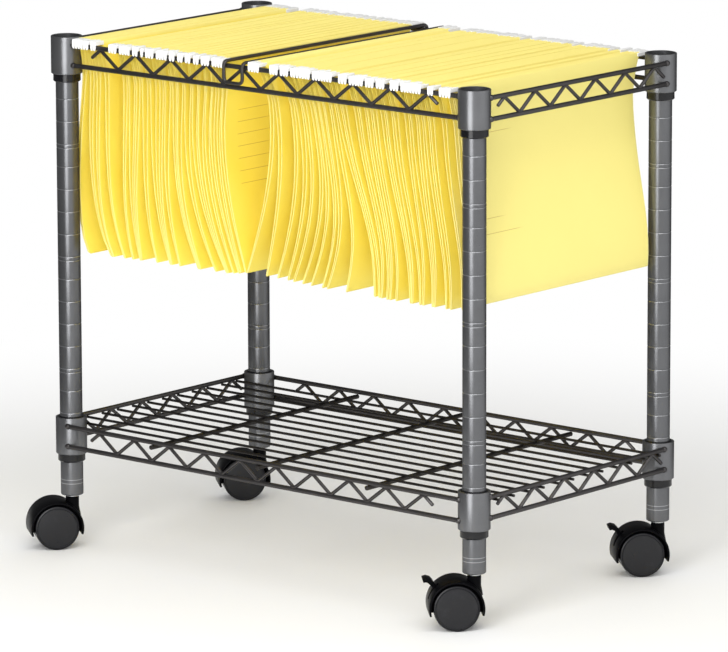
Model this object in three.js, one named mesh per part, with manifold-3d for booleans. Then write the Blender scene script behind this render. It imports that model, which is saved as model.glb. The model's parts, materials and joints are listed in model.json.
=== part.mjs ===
// A mobile file cart: a wire frame on four grooved posts and four twin-wheel casters, with hanging folders.
// Millimetres. +X runs to the right, +Y to the back and +Z up, with the floor at Z = 0.
import * as THREE from 'three';
import { mergeVertices } from 'three/addons/utils/BufferGeometryUtils.js';
import Module from 'manifold-3d';

const wasm = await Module();
wasm.setup();

// Frame
const POST_SPAN_X = 584;
const POST_SPAN_Y = 318;
const FRAME_TOP = 580;
const SHELF_RIM = 149.5;
const GAP = 0.3;

// Posts and their caps
const POST_RADIUS = 12.7;
const POST_WALL = 1.2;
const POST_RECESS = 8;
const POST_FOOT = 24;
const GROOVE_DEPTH = 0.5;
const GROOVE_HALF_HEIGHT = 0.9;
const CAP_PLUG = 8;
const CAP_FLANGE = 1.5;

// Collars, and the split sleeves that they jam on
const COLLAR_WALL = 1.9;
const COLLAR_HEIGHT = 42;
const SLEEVE_WALL = 2.3;
const SLEEVE_TAPER = 0.8;
const SLEEVE_DROP = 9;
const SLEEVE_CHAMFER = 1.2;
const SLEEVE_STAND = 1;
const SLEEVE_SLIT = 1.6;
const SLIT_FACETS_ROUND = 5;
const SEAT_HEIGHT = 22;

// Wires of the trusses, the shelf and the divider
const RAIL_RADIUS = 2.75;
const ZIGZAG_RADIUS = 2;
const DECK_RADIUS = 1.6;
const DIVIDER_RADIUS = 2;
const WIRE_SIDES = 6;
const ZIGZAG_SIDES = 4;
const RAIL_SPACING = 22.8;
const LONG_RAIL_DROP = 8.75;
const SHORT_RAIL_DROP = 9.2;
const RAIL_LAP = 10;
const RAIL_BITE = 2.45;
const HANGING_OFFSET = 6.7;
const APEX_SINK = 1.5;
const LONG_APEXES = 10;
const LONG_APEX_INSET = 57.5;
const SHORT_APEXES = 6;
const SHORT_APEX_INSET = 31;
const LONG_FREE_END = 16.5;
const SHORT_FREE_END = 14;
const DECK_WIRES = 12;
const CROSS_WIRES = 3;
const APEXES_PER_CROSS = 3;
const WELD_SINK = 1;
const CROSS_STUB = 2;
const DECK_STUB = 0.5;

// File divider
const DIVIDER_X = -35;
const DIVIDER_WIDTH = 26;
const DIVIDER_REACH = 22.5;
const BEND_STEPS = 3;

// Casters
const WHEEL_RADIUS = 25;
const WHEEL_WIDTH = 15.5;
const WHEEL_BEVEL = 2;
const WHEEL_SKIN = 4;
const CASTER_TRAIL = 20;
const AXLE_RADIUS = 3;
const WEB_WALL = 2.2;
const WELL_CLEARANCE = 2.8;
const HOOD_WALL = 2.2;
const HOOD_DROP = 7.5;
const HOOD_LIP = 0.5;
const HUB_WALL = 4.7;
const NECK_WALL = 4.2;
const NECK_RISE = 2.5;
const STEM_PIN_RADIUS = 3;
const STEM_PIN_LENGTH = 15;
const STEM_BRIM = 2.2;
const STEM_FLANGE = 1.9;
const STEM_THREAD_RADIUS = 5;
const STEM_THREAD_LENGTH = 20;

// Brake levers of the two casters on the right
const BRAKE_INSET = 9;
const BRAKE_RISE = 0.75;
const BRAKE_SWING = 0.35;
const BRAKE_THICKNESS = 5.5;
const BRAKE_PIN_RADIUS = 1.5;
const BRAKE_BOSS_WALL = 2;
const BRAKE_CHEEK = 2.2;
const PEDAL_CLEARANCE = 5;
const PEDAL_LENGTH = 11.5;
const PEDAL_HALF_WIDTH = 8;

// Hanging folders
const FOLDER_HEIGHT = 234;
const FOLDER_EDGE_GAP = 18;
const LEFT_BANK_GAP = 0.5;
const RIGHT_BANK_GAP = 4.35;
const BANK_DIVIDER_GAP = 2;
const RIGHT_BANK_LEAN = 10;
const LEAF_TOP_HALF = 3.2;
const FOLD_HALF = 0.9;
const LEAF_EDGE = 12;
const LEAF_DEPTHS = [0, 0.1, 0.45, 0.78, 1];
// How far the folders of each bank bow, at even steps from its left end
const LEFT_BOWS = [-6, -11, -13, -9, -5, -2];
const RIGHT_BOWS = [13, 20, 11, 2, 4, 0];
// Steps between the bottom folds of each bank, from its left end
const LEFT_FOLD_STEPS = [33, 19, 12, 11, 25, 20, 14, 28, 25, 16, 10, 8, 10];
const RIGHT_FOLD_STEPS = [
  27, 13, 15, 6, 11, 10, 17, 4, 24, 35, 9, 6, 10, 18, 12, 5, 9, 18, 14, 13, 13, 13, 12, 13,
];
const CLUSTER_PITCH = 26;
const CLUSTER_FILL = 0.78;
const HOOK_HEIGHT = 5.2;
const HOOK_LIP = 1.5;
const HOOK_HOLD = 10;
const CARD_DROP = 0.5;

// Facets of the round pieces
const POST_FACETS = 14;
const HOOD_FACETS = 14;
const WHEEL_FACETS = 20;
const PIN_FACETS = 8;

// Places that follow from those sizes
const HALF_X = POST_SPAN_X / 2;
const HALF_Y = POST_SPAN_Y / 2;
const POST_TOP = FRAME_TOP - POST_RECESS;
const SLEEVE_RADIUS = POST_RADIUS + GAP + SLEEVE_WALL;
const COLLAR_RADIUS = SLEEVE_RADIUS + GAP + COLLAR_WALL;
const TOP_COLLAR = FRAME_TOP - COLLAR_HEIGHT;
const SHELF_COLLAR = SHELF_RIM - COLLAR_HEIGHT;
const LAPPED_OFFSET = COLLAR_RADIUS - RAIL_BITE;
const LONG_APEX_PITCH = (POST_SPAN_X - 2 * LONG_APEX_INSET) / (LONG_APEXES - 1);
const SHORT_APEX_PITCH = (POST_SPAN_Y - 2 * SHORT_APEX_INSET) / (SHORT_APEXES - 1);
const DECK_REACH = HALF_Y - COLLAR_RADIUS - DECK_RADIUS - 2 * GAP;
const DECK_PITCH = 2 * DECK_REACH / (DECK_WIRES - 1);
const RAIL_REACH = cornerRadius(RAIL_RADIUS, WIRE_SIDES);
const HANGING_Y = HALF_Y + HANGING_OFFSET;
const HANGING_Z = FRAME_TOP - LONG_RAIL_DROP;
const HANGING_TOP = HANGING_Z + RAIL_RADIUS;
const HANGING_FACE = HANGING_Y + RAIL_REACH;
const DIVIDER_BEND = RAIL_REACH + GAP + DIVIDER_RADIUS;
const CROSS_Z = SHELF_RIM - LONG_RAIL_DROP - 2 * RAIL_RADIUS - GAP;
const DECK_Z = CROSS_Z + RAIL_RADIUS + DECK_RADIUS - WELD_SINK;
const SHELF_SIDE_Z = DECK_Z + DECK_RADIUS + GAP + RAIL_RADIUS;
const WELL_RADIUS = WHEEL_RADIUS + WELL_CLEARANCE;
const HOOD_RADIUS = WELL_RADIUS + HOOD_WALL;
const NECK_TOP = WHEEL_RADIUS + HOOD_RADIUS + NECK_RISE;
const CASTER_HEIGHT = NECK_TOP + STEM_FLANGE + 2 * GAP;
const PIN_BOTTOM = NECK_TOP - STEM_PIN_LENGTH;
const NECK_RADIUS = STEM_PIN_RADIUS + GAP + NECK_WALL;
const WEB_HALF = STEM_PIN_RADIUS + GAP + WEB_WALL;
const HUB_RADIUS = AXLE_RADIUS + GAP + HUB_WALL;
const WHEEL_INNER = WEB_HALF + 2 * GAP;
const WHEEL_OUTER = WHEEL_INNER + WHEEL_WIDTH;
const AXLE_END = WHEEL_OUTER - WHEEL_SKIN - GAP;
const HOOD_HALF = WHEEL_OUTER + HOOD_LIP;
const BRAKE_X = CASTER_TRAIL + (HOOD_RADIUS - BRAKE_INSET) * Math.cos(BRAKE_RISE);
const BRAKE_Z = WHEEL_RADIUS + (HOOD_RADIUS - BRAKE_INSET) * Math.sin(BRAKE_RISE);
const BRAKE_BOSS = BRAKE_PIN_RADIUS + GAP + BRAKE_BOSS_WALL;
const BRAKE_HALF_WIDTH = WEB_HALF - BRAKE_CHEEK - GAP;
const PEDAL_FROM = BRAKE_INSET + PEDAL_CLEARANCE;
const BRAKE_ARM = PEDAL_FROM + PEDAL_LENGTH;
const CARD_Y = HANGING_Y - RAIL_RADIUS - FOLDER_EDGE_GAP;
const CARD_TOP = HANGING_TOP + GAP + HOOK_HEIGHT - CARD_DROP;

const CORNERS = [
  { name: 'front_left', x: -HALF_X, y: -HALF_Y, trail: 232, brake: false },
  { name: 'front_right', x: HALF_X, y: -HALF_Y, trail: 225, brake: true },
  { name: 'back_right', x: HALF_X, y: HALF_Y, trail: 228, brake: true },
  { name: 'back_left', x: -HALF_X, y: HALF_Y, trail: 229, brake: false },
];

// Each side turns a place along its run, outwards from the post axes and up into a point of the cart
const LONG_SIDES = {
  front: (along, out, z) => new THREE.Vector3(along, -HALF_Y - out, z),
  back: (along, out, z) => new THREE.Vector3(along, HALF_Y + out, z),
};
const SHORT_SIDES = {
  left: (along, out, z) => new THREE.Vector3(-HALF_X - out, along, z),
  right: (along, out, z) => new THREE.Vector3(HALF_X + out, along, z),
};

const MATERIALS = {
  graphitePaint: { color: 0x55585c, roughness: 0.38, metalness: 0.6 },
  wirePaint: { color: 0x34353a, roughness: 0.42, metalness: 0.5 },
  blackPlastic: { color: 0x17181a, roughness: 0.5, metalness: 0 },
  wheelPlastic: { color: 0x26282b, roughness: 0.45, metalness: 0 },
  zinc: { color: 0xc4c8cc, roughness: 0.3, metalness: 1 },
  yellowCard: { color: 0xf9dc3c, roughness: 0.75, metalness: 0 },
};
for (const name of Object.keys(MATERIALS)) {
  MATERIALS[name] = new THREE.MeshStandardMaterial({ ...MATERIALS[name], flatShading: true });
}

// Geometry helpers

// The distance to the corners of an even section whose flats lie at the given radius
function cornerRadius(radius, sides) {
  return radius / Math.cos(Math.PI / sides);
}

function isInsideOut(geometry) {
  const position = geometry.attributes.position;
  const index = geometry.index.array;
  const [a, b, c] = [new THREE.Vector3(), new THREE.Vector3(), new THREE.Vector3()];
  let volume = 0;
  for (let i = 0; i < index.length; i += 3) {
    a.fromBufferAttribute(position, index[i]);
    b.fromBufferAttribute(position, index[i + 1]);
    c.fromBufferAttribute(position, index[i + 2]);
    volume += a.dot(b.cross(c));
  }
  return volume < 0;
}

// Shares the vertices of a closed surface, drops collapsed triangles and turns its faces outwards
function weld(geometry) {
  geometry.deleteAttribute('normal');
  geometry.deleteAttribute('uv');
  const merged = mergeVertices(geometry);
  const index = merged.index.array;
  const kept = [];
  for (let i = 0; i < index.length; i += 3) {
    const [a, b, c] = index.slice(i, i + 3);
    if (a !== b && b !== c && c !== a) kept.push(a, b, c);
  }
  merged.setIndex(kept);
  if (isInsideOut(merged)) merged.setIndex(kept.reverse());
  return merged;
}

function toSolid(geometry) {
  const welded = weld(geometry);
  return new wasm.Manifold(new wasm.Mesh({
    numProp: 3,
    vertProperties: new Float32Array(welded.attributes.position.array),
    triVerts: new Uint32Array(welded.index.array),
  }));
}

function toGeometry(solid) {
  const mesh = solid.getMesh();
  const geometry = new THREE.BufferGeometry();
  geometry.setAttribute('position', new THREE.BufferAttribute(new Float32Array(mesh.vertProperties), 3));
  geometry.setIndex(new THREE.BufferAttribute(new Uint32Array(mesh.triVerts), 1));
  return geometry;
}

function join(geometries) {
  const solids = geometries.map(toSolid);
  return toGeometry(solids.reduce((whole, solid) => whole.add(solid)));
}

function cut(geometry, tools) {
  const solids = tools.map(toSolid);
  return toGeometry(solids.reduce((rest, solid) => rest.subtract(solid), toSolid(geometry)));
}

// Turns a closed profile of [radius, height] points about the Y axis
function turnAboutY(profile, facets, start = 0) {
  const points = profile.map(([radius, height]) => new THREE.Vector2(radius, height));
  points.push(points[0].clone());
  return weld(new THREE.LatheGeometry(points, facets, start));
}

function turnAboutZ(profile, facets) {
  return turnAboutY(profile, facets).rotateX(Math.PI / 2);
}

function cylinderAboutY(radius, from, to, facets) {
  return turnAboutY([[0, from], [radius, from], [radius, to], [0, to]], facets);
}

function cylinderAboutZ(radius, from, to, facets) {
  return turnAboutZ([[0, from], [radius, from], [radius, to], [0, to]], facets);
}

// Gives an outline in X and Z a thickness along Y
function slab(outline, fromY, toY, curveSegments = 1) {
  const depth = toY - fromY;
  const geometry = new THREE.ExtrudeGeometry(outline, { depth, bevelEnabled: false, curveSegments });
  return geometry.rotateX(Math.PI / 2).translate(0, toY, 0);
}

// Gives an outline in Y and Z a thickness along X
function plate(outline, fromX, toX) {
  const depth = toX - fromX;
  const geometry = new THREE.ExtrudeGeometry(outline, { depth, bevelEnabled: false });
  return geometry.rotateX(Math.PI / 2).rotateZ(Math.PI / 2).translate(fromX, 0, 0);
}

function outlineOf(points) {
  return new THREE.Shape(points.map(([a, b]) => new THREE.Vector2(a, b)));
}

// A bar of even section along a list of points, mitred at each bend, with a flat that faces the given way.
// A closed bar starts in the middle of a straight run.
function wire(points, radius, facing, { sides = WIRE_SIDES, closed = false } = {}) {
  const count = points.length;
  const reach = cornerRadius(radius, sides);
  const runs = points.map((point, i) => points[(i + 1) % count].clone().sub(point).normalize());
  const normal = facing.clone();
  const positions = [];
  const index = [];
  points.forEach((point, i) => {
    const atStart = i === 0 && !closed;
    const atEnd = i === count - 1 && !closed;
    const before = atStart ? runs[0] : runs[(i + count - 1) % count];
    const after = atEnd ? before : runs[i];
    const side = before.clone().cross(normal);
    const mitre = before.clone().add(after).normalize();
    for (let k = 0; k < sides; k++) {
      const angle = (k + 0.5) * 2 * Math.PI / sides;
      const corner = normal.clone().multiplyScalar(Math.cos(angle) * reach);
      corner.addScaledVector(side, Math.sin(angle) * reach);
      corner.addScaledVector(before, -corner.dot(mitre) / before.dot(mitre));
      positions.push(...corner.add(point).toArray());
    }
    normal.applyQuaternion(new THREE.Quaternion().setFromUnitVectors(before, after));
  });
  const rings = closed ? count : count - 1;
  for (let ring = 0; ring < rings; ring++) {
    const next = (ring + 1) % count;
    for (let k = 0; k < sides; k++) {
      const [a, b] = [ring * sides + k, ring * sides + (k + 1) % sides];
      const [c, d] = [next * sides + k, next * sides + (k + 1) % sides];
      index.push(a, b, d, a, d, c);
    }
  }
  const last = (count - 1) * sides;
  for (let k = 1; k < sides - 1 && !closed; k++) {
    index.push(0, k + 1, k, last, last + k, last + k + 1);
  }
  const geometry = new THREE.BufferGeometry();
  geometry.setAttribute('position', new THREE.Float32BufferAttribute(positions, 3));
  geometry.setIndex(index);
  return weld(geometry);
}

// Replaces each inner corner of a route by an arc of the given radius
function roundCorners(corners, radius) {
  const route = [corners[0]];
  for (let i = 1; i < corners.length - 1; i++) {
    const back = corners[i - 1].clone().sub(corners[i]).normalize();
    const ahead = corners[i + 1].clone().sub(corners[i]).normalize();
    const half = back.angleTo(ahead) / 2;
    const inwards = back.clone().add(ahead).normalize();
    const centre = corners[i].clone().addScaledVector(inwards, radius / Math.sin(half));
    const start = corners[i].clone().addScaledVector(back, radius / Math.tan(half)).sub(centre);
    const axis = ahead.clone().cross(back).normalize();
    const sweep = Math.PI - 2 * half;
    for (let step = 0; step <= BEND_STEPS; step++) {
      route.push(start.clone().applyAxisAngle(axis, sweep * step / BEND_STEPS).add(centre));
    }
  }
  route.push(corners[corners.length - 1]);
  return route;
}

// Frame pieces

function addPiece(group, name, geometry, material) {
  const mesh = new THREE.Mesh(geometry, material);
  mesh.name = name;
  group.add(mesh);
  return mesh;
}

function grooveAt(radius, height) {
  return [
    [radius, height - GROOVE_HALF_HEIGHT],
    [radius - GROOVE_DEPTH, height],
    [radius, height + GROOVE_HALF_HEIGHT],
  ];
}

function postShape() {
  const bore = STEM_THREAD_RADIUS + GAP;
  const inner = POST_RADIUS - POST_WALL;
  const footTop = CASTER_HEIGHT + POST_FOOT;
  return turnAboutZ([
    [bore, CASTER_HEIGHT],
    [POST_RADIUS, CASTER_HEIGHT],
    ...grooveAt(POST_RADIUS, SHELF_COLLAR + SEAT_HEIGHT),
    ...grooveAt(POST_RADIUS, TOP_COLLAR + SEAT_HEIGHT),
    [POST_RADIUS, POST_TOP],
    [inner, POST_TOP],
    [inner, footTop],
    [bore, footTop],
  ], POST_FACETS);
}

function capShape() {
  const plug = POST_RADIUS - POST_WALL - GAP;
  const seat = POST_TOP + GAP;
  return turnAboutZ([
    [0, POST_TOP - CAP_PLUG],
    [plug, POST_TOP - CAP_PLUG],
    [plug, seat],
    [POST_RADIUS, seat],
    [POST_RADIUS, seat + CAP_FLANGE],
    [0, seat + CAP_FLANGE],
  ], POST_FACETS);
}

function sleeveRadiusAt(height) {
  return SLEEVE_RADIUS - SLEEVE_TAPER * height / COLLAR_HEIGHT;
}

function sleeveShape(collarBottom, top) {
  const inner = POST_RADIUS + GAP;
  const bottom = collarBottom - SLEEVE_DROP;
  const bead = grooveAt(inner, collarBottom + SEAT_HEIGHT).reverse();
  const ring = turnAboutZ([
    [inner, bottom],
    [SLEEVE_RADIUS - SLEEVE_CHAMFER, bottom],
    [SLEEVE_RADIUS, bottom + SLEEVE_CHAMFER],
    [SLEEVE_RADIUS, collarBottom],
    [sleeveRadiusAt(top - collarBottom), top],
    [inner, top],
    ...bead,
  ], POST_FACETS);
  const height = top - bottom;
  const slit = new THREE.BoxGeometry(SLEEVE_RADIUS * 2, SLEEVE_SLIT, height * 2);
  slit.translate(SLEEVE_RADIUS, 0, bottom + height / 2);
  return cut(ring, [slit]).rotateZ(SLIT_FACETS_ROUND * 2 * Math.PI / POST_FACETS);
}

function collarShape(bottom) {
  const bore = SLEEVE_RADIUS + GAP;
  return turnAboutZ([
    [bore, bottom],
    [COLLAR_RADIUS, bottom],
    [COLLAR_RADIUS, bottom + COLLAR_HEIGHT],
    [bore - SLEEVE_TAPER, bottom + COLLAR_HEIGHT],
  ], POST_FACETS);
}

// The space round each collar that a rail is cut back to, where it is welded on
function collarSpaces(bottom) {
  const radius = COLLAR_RADIUS + GAP;
  return CORNERS.map(({ x, y }) => {
    const space = cylinderAboutZ(radius, bottom - COLLAR_HEIGHT, bottom + 2 * COLLAR_HEIGHT, POST_FACETS);
    return space.translate(x, y, 0);
  });
}

// The zigzag runs from one free end to the other, up to the top rail at each apex
function zigzagRoute(at, out, topZ, apexes, pitch, freeEnd) {
  const high = topZ - APEX_SINK;
  const low = topZ - RAIL_SPACING + APEX_SINK;
  const endX = (apexes - 1) * pitch / 2;
  const legLength = Math.hypot(pitch / 2, high - low);
  const endAlong = endX + freeEnd * pitch / 2 / legLength;
  const endZ = high - freeEnd * (high - low) / legLength;
  const route = [at(-endAlong, out, endZ)];
  for (let k = 0; k < 2 * apexes - 1; k++) {
    route.push(at(-endX + k * pitch / 2, out, k % 2 === 0 ? high : low));
  }
  route.push(at(endAlong, out, endZ));
  return route;
}

function trussShape(at, truss) {
  const { reach, out, topZ, apexes, pitch, freeEnd, collarBottom } = truss;
  const up = new THREE.Vector3(0, 0, 1);
  const outwards = at(0, 1, 0).sub(at(0, 0, 0));
  const rails = [topZ, topZ - RAIL_SPACING].map(
    (z) => wire([at(-reach, out, z), at(reach, out, z)], RAIL_RADIUS, up),
  );
  const route = zigzagRoute(at, out, topZ, apexes, pitch, freeEnd);
  const zigzag = wire(route, ZIGZAG_RADIUS, outwards, { sides: ZIGZAG_SIDES });
  return cut(join([...rails, zigzag]), collarSpaces(collarBottom));
}

function deckShape() {
  const up = new THREE.Vector3(0, 0, 1);
  const endX = HALF_X + LAPPED_OFFSET + RAIL_RADIUS + DECK_STUB;
  const endY = HALF_Y + LAPPED_OFFSET + CROSS_STUB;
  const middleX = (Math.floor(LONG_APEXES / 2) - LONG_APEXES / 2) * LONG_APEX_PITCH;
  const wires = [];
  for (let k = 0; k < DECK_WIRES; k++) {
    const y = (k - (DECK_WIRES - 1) / 2) * DECK_PITCH;
    const ends = [-endX, endX].map((x) => new THREE.Vector3(x, y, DECK_Z));
    wires.push(wire(ends, DECK_RADIUS, up));
  }
  for (let k = 0; k < CROSS_WIRES; k++) {
    const x = middleX + (k - Math.floor(CROSS_WIRES / 2)) * APEXES_PER_CROSS * LONG_APEX_PITCH;
    const ends = [-endY, endY].map((y) => new THREE.Vector3(x, y, CROSS_Z));
    wires.push(wire(ends, RAIL_RADIUS, up));
  }
  return join(wires);
}

// A closed loop that bends round the hanging rails and drops down outside both of them
function dividerShape() {
  const legY = HANGING_Y + DIVIDER_BEND;
  const topZ = HANGING_Z + DIVIDER_BEND;
  const bottomZ = topZ - DIVIDER_REACH;
  const leftX = DIVIDER_X - DIVIDER_WIDTH / 2;
  const rightX = DIVIDER_X + DIVIDER_WIDTH / 2;
  const start = new THREE.Vector3(DIVIDER_X, -legY, bottomZ);
  const route = roundCorners([
    start,
    new THREE.Vector3(leftX, -legY, bottomZ),
    new THREE.Vector3(leftX, -legY, topZ),
    new THREE.Vector3(leftX, legY, topZ),
    new THREE.Vector3(leftX, legY, bottomZ),
    new THREE.Vector3(rightX, legY, bottomZ),
    new THREE.Vector3(rightX, legY, topZ),
    new THREE.Vector3(rightX, -legY, topZ),
    new THREE.Vector3(rightX, -legY, bottomZ),
    start,
  ], DIVIDER_BEND);
  return wire(route.slice(0, -1), DIVIDER_RADIUS, new THREE.Vector3(0, 1, 0), { closed: true });
}

// Caster pieces, in the caster's own frame: the stem on Z, the axle along Y and the trail along +X

function stemShape() {
  const flangeBottom = NECK_TOP + GAP;
  const flangeTop = flangeBottom + STEM_FLANGE;
  return turnAboutZ([
    [0, PIN_BOTTOM],
    [STEM_PIN_RADIUS, PIN_BOTTOM],
    [STEM_PIN_RADIUS, flangeBottom],
    [STEM_THREAD_RADIUS + STEM_BRIM, flangeBottom],
    [STEM_THREAD_RADIUS + STEM_BRIM, flangeTop],
    [STEM_THREAD_RADIUS, flangeTop],
    [STEM_THREAD_RADIUS, flangeTop + STEM_THREAD_LENGTH],
    [0, flangeTop + STEM_THREAD_LENGTH],
  ], PIN_FACETS);
}

function brakeArm(grow) {
  const half = BRAKE_THICKNESS / 2 + grow;
  return outlineOf([[0, -half], [BRAKE_ARM + grow, -half], [BRAKE_ARM + grow, half], [0, half]]);
}

// Lays a lever shape, made along +X at the origin, on the brake pin and swings it down by an angle
function placeOnBrakePin(geometry, swing) {
  return geometry.rotateY(swing - BRAKE_RISE).translate(BRAKE_X, 0, BRAKE_Z);
}

function brakeSlot(swing) {
  const half = BRAKE_HALF_WIDTH + GAP;
  const arm = slab(brakeArm(GAP), -half, half);
  const boss = cylinderAboutY(BRAKE_BOSS + GAP, -half, half, PIN_FACETS);
  return placeOnBrakePin(join([arm, boss]), swing);
}

function brakeLeverShape() {
  const arm = slab(brakeArm(0), -BRAKE_HALF_WIDTH, BRAKE_HALF_WIDTH);
  const boss = cylinderAboutY(BRAKE_BOSS, -BRAKE_HALF_WIDTH, BRAKE_HALF_WIDTH, PIN_FACETS);
  const pedalOutline = outlineOf([
    [PEDAL_FROM, -BRAKE_THICKNESS / 2],
    [BRAKE_ARM, -BRAKE_THICKNESS / 2],
    [BRAKE_ARM + BRAKE_THICKNESS / 2, BRAKE_THICKNESS / 2],
    [PEDAL_FROM, BRAKE_THICKNESS / 2],
  ]);
  const pedal = slab(pedalOutline, -PEDAL_HALF_WIDTH, PEDAL_HALF_WIDTH);
  const bore = cylinderAboutY(BRAKE_PIN_RADIUS + GAP, -HOOD_HALF, HOOD_HALF, PIN_FACETS);
  return placeOnBrakePin(cut(join([arm, boss, pedal]), [bore]), 0);
}

function brakePinShape() {
  const pin = cylinderAboutY(BRAKE_PIN_RADIUS, -WEB_HALF, WEB_HALF, PIN_FACETS);
  return pin.translate(BRAKE_X, 0, BRAKE_Z);
}

function hoodShape(brake) {
  const chordAngle = Math.asin(HOOD_DROP / HOOD_RADIUS);
  const outline = new THREE.Shape();
  outline.absarc(CASTER_TRAIL, WHEEL_RADIUS, HOOD_RADIUS, -chordAngle, Math.PI + chordAngle, false);
  const well = new THREE.Shape();
  well.absarc(CASTER_TRAIL, WHEEL_RADIUS, WELL_RADIUS, 0, 2 * Math.PI, false);
  const body = slab(outline, -HOOD_HALF, HOOD_HALF, HOOD_FACETS);
  const hub = cylinderAboutY(HUB_RADIUS, -WEB_HALF, WEB_HALF, HOOD_FACETS);
  hub.translate(CASTER_TRAIL, 0, WHEEL_RADIUS);
  const neck = cylinderAboutZ(NECK_RADIUS, PIN_BOTTOM - NECK_RADIUS, NECK_TOP, HOOD_FACETS);
  const axleBore = cylinderAboutY(AXLE_RADIUS + GAP, -HOOD_HALF, HOOD_HALF, PIN_FACETS);
  const tools = [
    slab(well, WEB_HALF, HOOD_HALF + HOOD_WALL, HOOD_FACETS),
    slab(well, -HOOD_HALF - HOOD_WALL, -WEB_HALF, HOOD_FACETS),
    axleBore.translate(CASTER_TRAIL, 0, WHEEL_RADIUS),
    cylinderAboutZ(STEM_PIN_RADIUS + GAP, PIN_BOTTOM - GAP, CASTER_HEIGHT, PIN_FACETS),
  ];
  if (brake) {
    for (const share of [0, 0.5, 1]) tools.push(brakeSlot(share * BRAKE_SWING));
    const pinBore = cylinderAboutY(BRAKE_PIN_RADIUS + GAP, -HOOD_HALF, HOOD_HALF, PIN_FACETS);
    tools.push(pinBore.translate(BRAKE_X, 0, BRAKE_Z));
  }
  return cut(join([body, hub, neck]), tools);
}

function axleShape() {
  return cylinderAboutY(AXLE_RADIUS, -AXLE_END, AXLE_END, PIN_FACETS).translate(CASTER_TRAIL, 0, WHEEL_RADIUS);
}

// One wheel on the +Y side, with a flat of its rim on the floor
function wheelShape() {
  const rim = WHEEL_RADIUS / Math.cos(Math.PI / WHEEL_FACETS);
  const bore = AXLE_RADIUS + GAP;
  const wheel = turnAboutY([
    [0, AXLE_END + GAP],
    [bore, AXLE_END + GAP],
    [bore, WHEEL_INNER],
    [rim, WHEEL_INNER],
    [rim, WHEEL_OUTER - WHEEL_BEVEL],
    [rim - WHEEL_BEVEL, WHEEL_OUTER],
    [0, WHEEL_OUTER],
  ], WHEEL_FACETS, Math.PI / WHEEL_FACETS);
  return wheel.translate(CASTER_TRAIL, 0, WHEEL_RADIUS);
}

// The same wheel turned round to the -Y side of the web
function oppositeWheelShape() {
  return wheelShape().translate(-CASTER_TRAIL, 0, 0).rotateZ(Math.PI).translate(CASTER_TRAIL, 0, 0);
}

function buildCaster({ name, x, y, trail, brake }) {
  const caster = new THREE.Group();
  caster.position.set(x, y, 0);
  caster.rotation.z = THREE.MathUtils.degToRad(trail);
  addPiece(caster, `caster_stem_${name}`, stemShape(), MATERIALS.zinc);
  addPiece(caster, `caster_hood_${name}`, hoodShape(brake), MATERIALS.blackPlastic);
  addPiece(caster, `caster_axle_${name}`, axleShape(), MATERIALS.zinc);
  addPiece(caster, `caster_wheel_${name}_1`, wheelShape(), MATERIALS.wheelPlastic);
  addPiece(caster, `caster_wheel_${name}_2`, oppositeWheelShape(), MATERIALS.wheelPlastic);
  if (brake) {
    addPiece(caster, `brake_lever_${name}`, brakeLeverShape(), MATERIALS.blackPlastic);
    addPiece(caster, `brake_pin_${name}`, brakePinShape(), MATERIALS.zinc);
  }
  return caster;
}

// Hanging folders: each is a leaf that tapers to its bottom fold, and a core inside ties the leaves of a bank

// The value at a share of the way along a list of values at even steps
function valueAlong(values, share) {
  const place = share * (values.length - 1);
  const step = Math.min(Math.floor(place), values.length - 2);
  return THREE.MathUtils.lerp(values[step], values[step + 1], place - step);
}

// Where each leaf of a bank hangs, where its bottom fold lies and how far it bows between them
function leavesOf({ from, to, lean, foldSteps, bows }) {
  const last = foldSteps.length;
  const spread = foldSteps.reduce((sum, step) => sum + step, 0);
  const leaves = [];
  let run = 0;
  for (let k = 0; k <= last; k++) {
    leaves.push({
      top: THREE.MathUtils.lerp(from + LEAF_TOP_HALF, to - LEAF_TOP_HALF, k / last),
      fold: THREE.MathUtils.lerp(from + FOLD_HALF, to + lean - FOLD_HALF, run / spread),
      bow: valueAlong(bows, k / last),
    });
    run += foldSteps[k];
  }
  return leaves;
}

// A point of a leaf at a share of its depth, off its middle by a share of its half thickness
function leafPoint({ top, fold, bow }, depth, off) {
  const half = LEAF_TOP_HALF + (FOLD_HALF - LEAF_TOP_HALF) * depth;
  const middle = top + (fold - top) * depth * depth + bow * Math.sin(Math.PI * depth);
  return [middle + off * half, CARD_TOP - FOLDER_HEIGHT * depth];
}

function leafShape(leaf) {
  const left = LEAF_DEPTHS.map((depth) => leafPoint(leaf, depth, -1));
  const right = LEAF_DEPTHS.map((depth) => leafPoint(leaf, depth, 1));
  return slab(outlineOf([...left, ...right.reverse()]), -CARD_Y, CARD_Y);
}

// The core runs from the first leaf to the last, short of their tops, folds and edges
function coreShape(leaves) {
  const depths = LEAF_DEPTHS.slice(1, -1);
  const left = depths.map((depth) => leafPoint(leaves[0], depth, 0));
  const right = depths.map((depth) => leafPoint(leaves[leaves.length - 1], depth, 0));
  return slab(outlineOf([...left, ...right.reverse()]), LEAF_EDGE - CARD_Y, CARD_Y - LEAF_EDGE);
}

// A run of hook tips over one hanging rail, on the side that the sign gives
function hookOutline(sign) {
  const under = HANGING_TOP + GAP;
  const lipInner = HANGING_FACE + GAP;
  const top = under + HOOK_HEIGHT;
  const lipBottom = HANGING_Z - RAIL_RADIUS;
  const points = [
    [CARD_Y - HOOK_HOLD, under],
    [lipInner, under],
    [lipInner, lipBottom],
    [lipInner + HOOK_LIP, lipBottom],
    [lipInner + HOOK_LIP, top],
    [CARD_Y - HOOK_HOLD, top],
  ];
  return outlineOf(points.map(([y, z]) => [sign * y, z]));
}

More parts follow.
